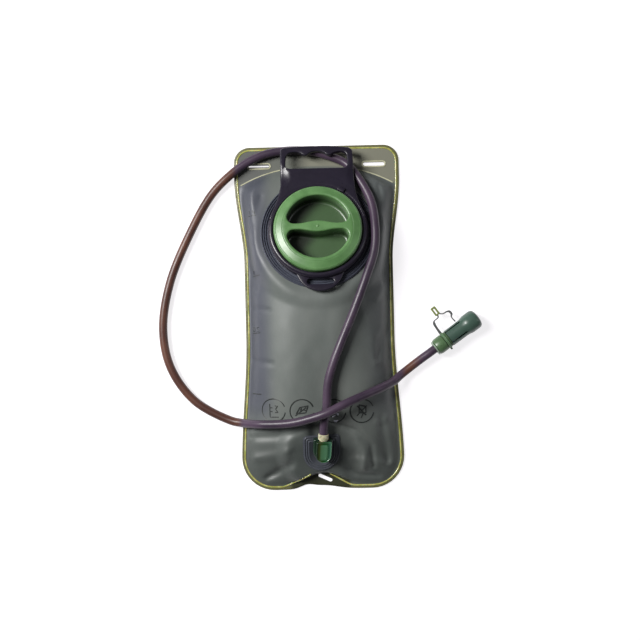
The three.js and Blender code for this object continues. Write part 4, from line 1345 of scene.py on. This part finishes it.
def button_material():
    """Glossy green with painted reflections: bands from olive at its left to teal at its right, and a paler
    rim as a painted highlight.
    """
    made = Nodes("button_green")
    across = made.attribute("across")
    drift = made.mix(0.12, across, made.noise(400, 3, (1, 0.3, 1)))
    stops = [
        (0.08, rgb(16, 36, 18)), (0.26, rgb(44, 54, 22)), (0.48, rgb(16, 58, 18)), (0.68, rgb(20, 66, 36)),
        (0.86, rgb(58, 96, 78)),
    ]
    painted_reflection_bands = made.ramp(drift, stops)
    made.colour(made.mix(made.attribute("rim"), painted_reflection_bands, rgb(78, 118, 88)))
    made.roughness(made.spread(made.noise(300, 3), 0.1, 0.2))
    made.bump(made.noise(300, 2), 0.04, 0.0002)
    made.set(Specular_IOR_Level=0.3, Coat_Weight=0.15, Coat_Roughness=0.08)
    return made.material


HOUSING_NORTH = 12
HOUSING_SOUTH = -11
LID_HALF_WIDTH = 8.1


def port_housing():
    outline = bullnose(9.9, HOUSING_NORTH, HOUSING_SOUTH, 1.4)
    plinth = moulding(outline, [], edge_levels(2, 9.6, 0.4, 1.4, 4), 3)
    tower = moulding(bullnose(6.8, 10.8, -9.4, 0.8), [], edge_levels(9, 14, 0.2, 0.7, 3), 3)
    piece("port_body", joined(plinth, tower), SOCKET, port_material(), "bag", 45, "port_housing")


def crowned_lid(x, y, z):
    """The top bulges inside its rim, and the north wall stops above the plug."""
    inside_rim = smooth((6.6 - abs(x)) / 5) * smooth((y + 9.5) / 3) * smooth((10.5 - y) / 3)
    if y > 10.5:
        z = max(z, 14.8)
    return x, y, z + (0.6 * inside_rim if z > 16.6 else 0)


def lid_shape():
    """A thin-walled lid: in down its ceiling and inner wall, then out and up to a rimmed, crowned top."""
    levels = [
        (1.5, 16.15), (1.1, 15.95), (1, 15.6), (1, 11.9), (0.75, 11.6), (0.3, 11.6), (0, 11.9), (0, 15.7),
        (0.1, 16.5), (0.35, 17.05), (0.6, 17.2), (0.85, 17.1), (1.05, 16.8), (1.3, 16.7),
    ]
    outline = bullnose(LID_HALF_WIDTH, HOUSING_NORTH, HOUSING_SOUTH, 1.6)
    return shaped(moulding(outline, [], levels, 1.3), crowned_lid)


def release_button():
    bump = lathe([(0, 16.9), (1.2, 16.9), (1, 17.25), (0.5, 17.5), (0, 17.55)], 20, False)
    bump = moved(bump, Matrix.Translation((2, -5.6, 0)))
    shape = joined(lid_shape(), bump)
    made = piece("port_button", shape, SOCKET, button_material(), "button", 40, "release_button")
    local = [SOCKET.inverted() @ v.co / MM for v in made.data.vertices]
    # Painted reflections across the lid from left to right, and a painted highlight on the top rim, stronger
    # to the right.
    paint(made, "across", [clamp01((v.x / LID_HALF_WIDTH + 1) / 2) for v in local])
    paint(made, "rim", [smooth((v.z - 16.95) / 0.2) * smooth((v.x + 12) / 18) for v in local])


def plug_material():
    stops = [(0.3, rgb(150, 146, 118)), (0.5, rgb(186, 182, 152)), (0.7, rgb(208, 204, 178))]
    return surface("plug_plastic", ((300, 3), stops), ((500, 2), 0.28, 0.45), ((1600, 2), 0.06, 0.0001),
                   Subsurface_Weight=0.1, Subsurface_Scale=0.001)


def hose_plug():
    """A collar with three grooves round it, on the hose's axis."""
    profile = [(2, 11), (4.2, 11), (4.2, 12.3), (5, 12.3), (5.5, 12.7)]
    for start in (12.9, 14.3, 15.7):
        groove = [(5.5, 0), (5.5, 0.6), (5.35, 0.8), (4.75, 0.95), (4.75, 1.1), (5.35, 1.25)]
        profile += [(radius, start + along) for radius, along in groove]
    profile += [(5.5, 17.1), (5.4, 17.7), (4.9, 18.1), (4.55, 18.1), (4.5, 17.8), (2, 17.8)]
    shape = moved(along_y(lathe(profile, 56)), Matrix.Translation((0, 0, SOCKET_HOSE_HEIGHT / MM)))
    piece("plug_collar", shape, SOCKET, plug_material(), "bag", 35, "hose_plug")


SPRING_Y = -7
SPRING_BOTTOM = 4.6
SPRING_HEIGHT = 10.45
SPRING_WIRE = 0.25


def latch_spring():
    """The wire spring under the lid, which shortens as the button goes down."""
    coil = []
    steps = 132
    for step in range(steps + 1):
        turn = 2 * math.pi * step / 24
        height = SPRING_BOTTOM + SPRING_HEIGHT * step / steps
        coil.append(Vector((1.3 * math.cos(turn), SPRING_Y + 1.3 * math.sin(turn), height)))
    wire = swept(coil, oval(SPRING_WIRE, SPRING_WIRE, 10))
    made = piece("latch_spring", wire, SOCKET, spring_steel(), "bag", 60, "button_spring")
    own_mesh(made)


port_flange()
port_housing()
release_button()
latch_spring()
hose_plug()

# ---------------- bite valve, along its own X axis

VALVE_PLASTIC = moulded("valve_plastic", rgb(76, 102, 70), 0.32, 0.05, variation=0.12)
PALE_PLASTIC = moulded("lip_plastic", rgb(128, 146, 128), 0.34, 0.05, variation=0.1)
COVER_PLASTIC = moulded("cover_plastic", rgb(62, 84, 74), 0.32, 0.04, variation=0.14, coat=0.1)


def valve_body():
    profile = [
        (5.1, 1.5), (6.6, 1.5), (6.6, 12.7), (7.4, 12.9), (7.4, 16), (8.6, 16.1), (9, 16.35), (9, 16.8),
        (8.5, 17.05), (8.35, 17.35), (8.9, 17.6), (8.8, 17.9), (6, 18), (6, 19.1), (4.4, 19.3), (4.4, 25.5),
        (3.8, 26.5), (2.2, 26.5), (2.2, 6), (5.1, 6),
    ]
    shape = along_x(lathe(profile, 72))
    made = piece("valve_barrel", shape, VALVE, VALVE_PLASTIC, "bag", 35, "valve_body")
    lip = [(5.1, 0.4), (5.5, 0), (7.6, 0), (8, 0.35), (8, 1.1), (7.7, 1.45), (6.6, 1.5), (5.1, 1.5)]
    ring = piece("valve_lip", along_x(lathe(lip, 72)), VALVE, PALE_PLASTIC, "bag", 35)
    return [made, ring]


def arrow_shape():
    """A raised arrow, drawn flat and then wrapped on the sleeve."""
    outline = [(4.5, -0.5), (7.6, -0.5), (7.6, -1.4), (10.6, 0), (7.6, 1.4), (7.6, 0.5), (4.5, 0.5)]
    flat = moulding(softened(outline, 0.25, 2), [], [(0, 8.6), (0, 9.1), (0.1, 9.25)], 0.9)
    return shaped(flat, lambda x, y, z: (x, z * math.sin(y / 9), z * math.cos(y / 9)))


def shutoff_sleeve():
    profile = [
        (6.9, 2.1), (8.1, 2), (8.45, 2.3), (8.6, 3), (9, 4.6), (9.05, 11.6), (8.8, 12.3), (8.3, 12.5),
        (6.9, 12.4),
    ]
    grips = []
    for number in range(10):
        grip = block((5.4, -0.35, 8.75), (11, 0.35, 9.25), 0.25)
        turn = 110 + 140 * number / 9
        grips.append(moved(grip, Matrix.Rotation(math.radians(-turn), 4, "X")))
    shape = joined(along_x(lathe(profile, 72)), arrow_shape(), *grips)
    return piece("twist_sleeve", shape, VALVE, VALVE_PLASTIC, "shutoff", 35, "shutoff_sleeve")


def valve_seal():
    section = [(6.75 + across, 18.6 + along) for across, along in oval(0.5, 0.4, 12)]
    rubber = gasket_rubber("black_rubber", rgb(34, 35, 36), 0.6)
    shape = along_x(lathe(section, 48))
    return piece("valve_seal", shape, VALVE, rubber, "bag", stands_for="valve_o_ring")


def carved(shape, *tools):
    """The shape with the tools cut out of it."""
    objects = []
    for verts, faces in (shape, *tools):
        mesh = bpy.data.meshes.new("carving")
        mesh.from_pydata([tuple(v) for v in verts], [], [tuple(f) for f in faces])
        made = bpy.data.objects.new("carving", mesh)
        bpy.context.scene.collection.objects.link(made)
        objects.append(made)
    for tool in objects[1:]:
        change = objects[0].modifiers.new("cut", "BOOLEAN")
        change.operation = "DIFFERENCE"
        change.solver = "EXACT"
        change.object = tool
    bpy.context.view_layer.update()
    result = objects[0].evaluated_get(bpy.context.evaluated_depsgraph_get()).to_mesh()
    found = [tuple(v.co) for v in result.vertices], [tuple(p.vertices) for p in result.polygons]
    for made in objects:
        bpy.data.objects.remove(made, do_unlink=True)
    return found


def silicone_material():
    stops = [(0.3, rgb(196, 208, 202)), (0.7, rgb(222, 230, 226))]
    gloss = ((500, 2), 0.42, 0.58)
    return surface("mouthpiece_silicone", ((240, 3), stops), gloss, ((1800, 2), 0.08, 0.0001),
                   Subsurface_Weight=0.35, Subsurface_Scale=0.003, Transmission_Weight=0.1)


def mouthpiece():
    profile = [
        (4.7, 19.6), (6.7, 19.6), (7.05, 20), (7.3, 21), (7.2, 22.6), (7, 24), (6.4, 26.8), (5.95, 29),
        (5.9, 33), (5.95, 38), (6.4, 40.6), (6.8, 43), (6.8, 45), (6.4, 47), (5.5, 48.6), (4.2, 49.5),
        (2, 49.9), (0, 50), (0, 48.2), (3.4, 47.8), (4.6, 45.5), (4.7, 43), (4.2, 38), (4.2, 30), (4.7, 28),
    ]
    shell = along_x(lathe(profile, 64))
    slit = block((44, -3.4, -0.3), (52, 3.4, 0.3), 0.1)
    shape = carved(shell, slit)
    return piece("bite_tip", shape, VALVE, silicone_material(), "bag", stands_for="mouthpiece")


COVER_SLOT_TURNS = (58, -35, -155)


def dust_cover():
    """A cap over the mouthpiece with a rounded end, slotted from its mouth at three turns from its top."""
    profile = [
        (8.15, 18.6), (8.4, 18.4), (9.1, 18.4), (9.3, 18.6), (9.35, 28), (9.4, 36), (9.6, 39), (10.2, 41.6),
        (10.6, 43.2), (10.7, 45), (10.7, 51.8), (10.5, 53.2), (9.9, 54.5), (8.8, 55.6), (7, 56.35),
        (4, 56.85), (0, 57), (0, 55.8), (6, 55.2), (8.6, 53.8), (9.5, 52), (9.5, 43.4), (8.4, 39), (8.2, 36),
    ]
    outline = [(17, -1.2), (37.4, -1.2), (38.4, 0), (37.4, 1.2), (17, 1.2)]
    slot = moulding(softened(outline, 0.7, 3), [], [(0, 6), (0, 12)])
    slots = [moved(slot, Matrix.Rotation(math.radians(-degrees), 4, "X")) for degrees in COVER_SLOT_TURNS]
    shape = carved(along_x(lathe(profile, 96)), *slots)
    return piece("bite_cover", shape, VALVE, COVER_PLASTIC, "cover", 35, "dust_cover")


# The tether's two links are (x, y, width) points along them.
RING_LINK = [
    (14.5, 8.8, 3), (14.6, 16.5, 2.4), (15.5, 22.5, 2.6), (17, 24.2, 1.3), (22.6, 24.8, 1.3),
    (24, 27.6, 1.6),
]
COVER_LINK = [
    (26, 27.6, 1.4), (29, 25, 1.2), (34, 24.2, 1.6), (36, 22.8, 2.4), (36.4, 19.4, 2.2), (34.4, 16.8, 1.1),
    (34.8, 10.3, 1.4),
]
TETHER_LEVELS = [(0.25, -1.1), (0, -0.8), (0, 0.8), (0.25, 1.1)]


def strap(points):
    """A moulded strap through (x, y, width) points."""
    path = smooth_curve([Vector(p) for p in points], 8)
    left, right = [], []
    for number, here in enumerate(path):
        ahead = (path[min(number + 1, len(path) - 1)] - path[max(number - 1, 0)]).to_2d().normalized()
        side = Vector((-ahead.y, ahead.x)) * here.z / 2
        left.append((here.x + side.x, here.y + side.y))
        right.append((here.x - side.x, here.y - side.y))
    outline = counterclockwise(right + left[::-1])
    return moulding(outline, [], TETHER_LEVELS)


def tether_material(name, colour):
    stops = [(0.3, scaled(colour, 0.82)), (0.7, scaled(colour, 1.14))]
    return surface(name, ((260, 3), stops), ((420, 2), 0.32, 0.48), ((1500, 2), 0.06, 0.0001),
                   Subsurface_Weight=0.1, Subsurface_Scale=0.001)


def tether_piece(name, shape, plastic, colour, stands_for=None):
    material = tether_material(plastic, rgb(*colour))
    return piece(name, shape, VALVE, material, "bag", 40, stands_for)


def pull_tab_shape():
    outline = softened([(21.4, 27), (27, 27), (27, 37), (21.4, 37)], 1, 4)
    slot = softened([(23.3, 28.6), (25, 28.6), (25, 35), (23.3, 35)], 0.5, 3)
    return moulding(outline, [slot], [(0.3, -1.1), (0, -0.8), (0, 0.8), (0.3, 1.1)])


def cover_tether():
    """The ring on the valve with its nub, the two links, and the pull tab between them."""
    ring = lathe([(7.7, 13.1), (9.4, 13.1), (9.8, 13.5), (9.8, 15.5), (9.4, 15.9), (7.7, 15.9)], 72)
    nub = block((13.6, -11.4, -1), (15.4, -9.2, 1), 0.5)
    links = joined(strap(RING_LINK), strap(COVER_LINK))
    return [
        tether_piece("tether_ring", joined(along_x(ring), nub), "ring_plastic", (82, 108, 78)),
        tether_piece("tether_links", links, "tether_plastic", (84, 86, 86), "cover_tether"),
        tether_piece("tether_pull", pull_tab_shape(), "pull_plastic", (116, 128, 70)),
    ]


VALVE_PIECES = [*valve_body(), shutoff_sleeve(), valve_seal(), mouthpiece(), dust_cover(), *cover_tether()]

# ---------------- inner pieces kept from the frame


def keep_inner_pieces():
    steel = spring_steel()
    ivory = gasket_rubber("poppet_plastic", rgb(196, 190, 160), 0.4)
    black = gasket_rubber("ring_rubber", rgb(32, 33, 34), 0.6)
    finishes = {"poppet_spring": steel, "port_poppet": ivory, "plug_o_ring": black}
    for name, material in finishes.items():
        mesh = frame["nodes"][name].data
        mesh.materials.clear()
        mesh.materials.append(material)


keep_inner_pieces()

# ---------------- floor and lights


def floor_material():
    """Lit white paper: mostly its own brightness, so that shadows on it stay faint."""
    stops = [(0.3, (0.36, 0.35, 0.37, 1)), (0.7, (0.38, 0.37, 0.39, 1))]
    made = Nodes("studio_floor")
    made.colour(made.ramp(made.noise(3, 2), stops))
    made.roughness(made.spread(made.noise(40, 2), 0.75, 0.9))
    made.set(Specular_IOR_Level=0.1, Emission_Color=(1, 0.985, 1, 1), Emission_Strength=0.78)
    return made.material


def add_floor():
    half = 3
    corners = [(-half, -half, 0), (half, -half, 0), (half, half, 0), (-half, half, 0)]
    mesh = bpy.data.meshes.new("studio_floor")
    mesh.from_pydata(corners, [], [(0, 1, 2, 3)])
    mesh.materials.append(floor_material())
    made = bpy.data.objects.new("studio_floor", mesh)
    bpy.context.scene.collection.objects.link(made)
    made.location.z = -0.0002


def add_softbox(name, place, size, power, colour):
    """A rectangular light aimed at the middle of the bag."""
    data = bpy.data.lights.new(name, "AREA")
    data.shape = "RECTANGLE"
    data.size = size[0]
    data.size_y = size[1]
    data.energy = power
    data.color = colour
    made = bpy.data.objects.new(name, data)
    made.location = place
    made.rotation_euler = (-Vector(place)).to_track_quat("-Z", "Y").to_euler()
    bpy.context.scene.collection.objects.link(made)


def add_lights():
    add_softbox("key_left", (-0.98, 0.42, 1.1), (0.42, 0.8), 39, (1, 0.99, 0.975))
    add_softbox("fill_right", (1.25, 0.2, 0.9), (0.3, 0.9), 2.2, (0.95, 0.97, 1))


def set_world():
    world = bpy.data.worlds.new("studio")
    world.use_nodes = True
    background = world.node_tree.nodes["Background"]
    background.inputs["Color"].default_value = (0.94, 0.95, 1, 1)
    background.inputs["Strength"].default_value = 0.075
    bpy.context.scene.world = world


add_floor()
add_lights()
set_world()
bpy.context.scene.view_settings.view_transform = "Standard"
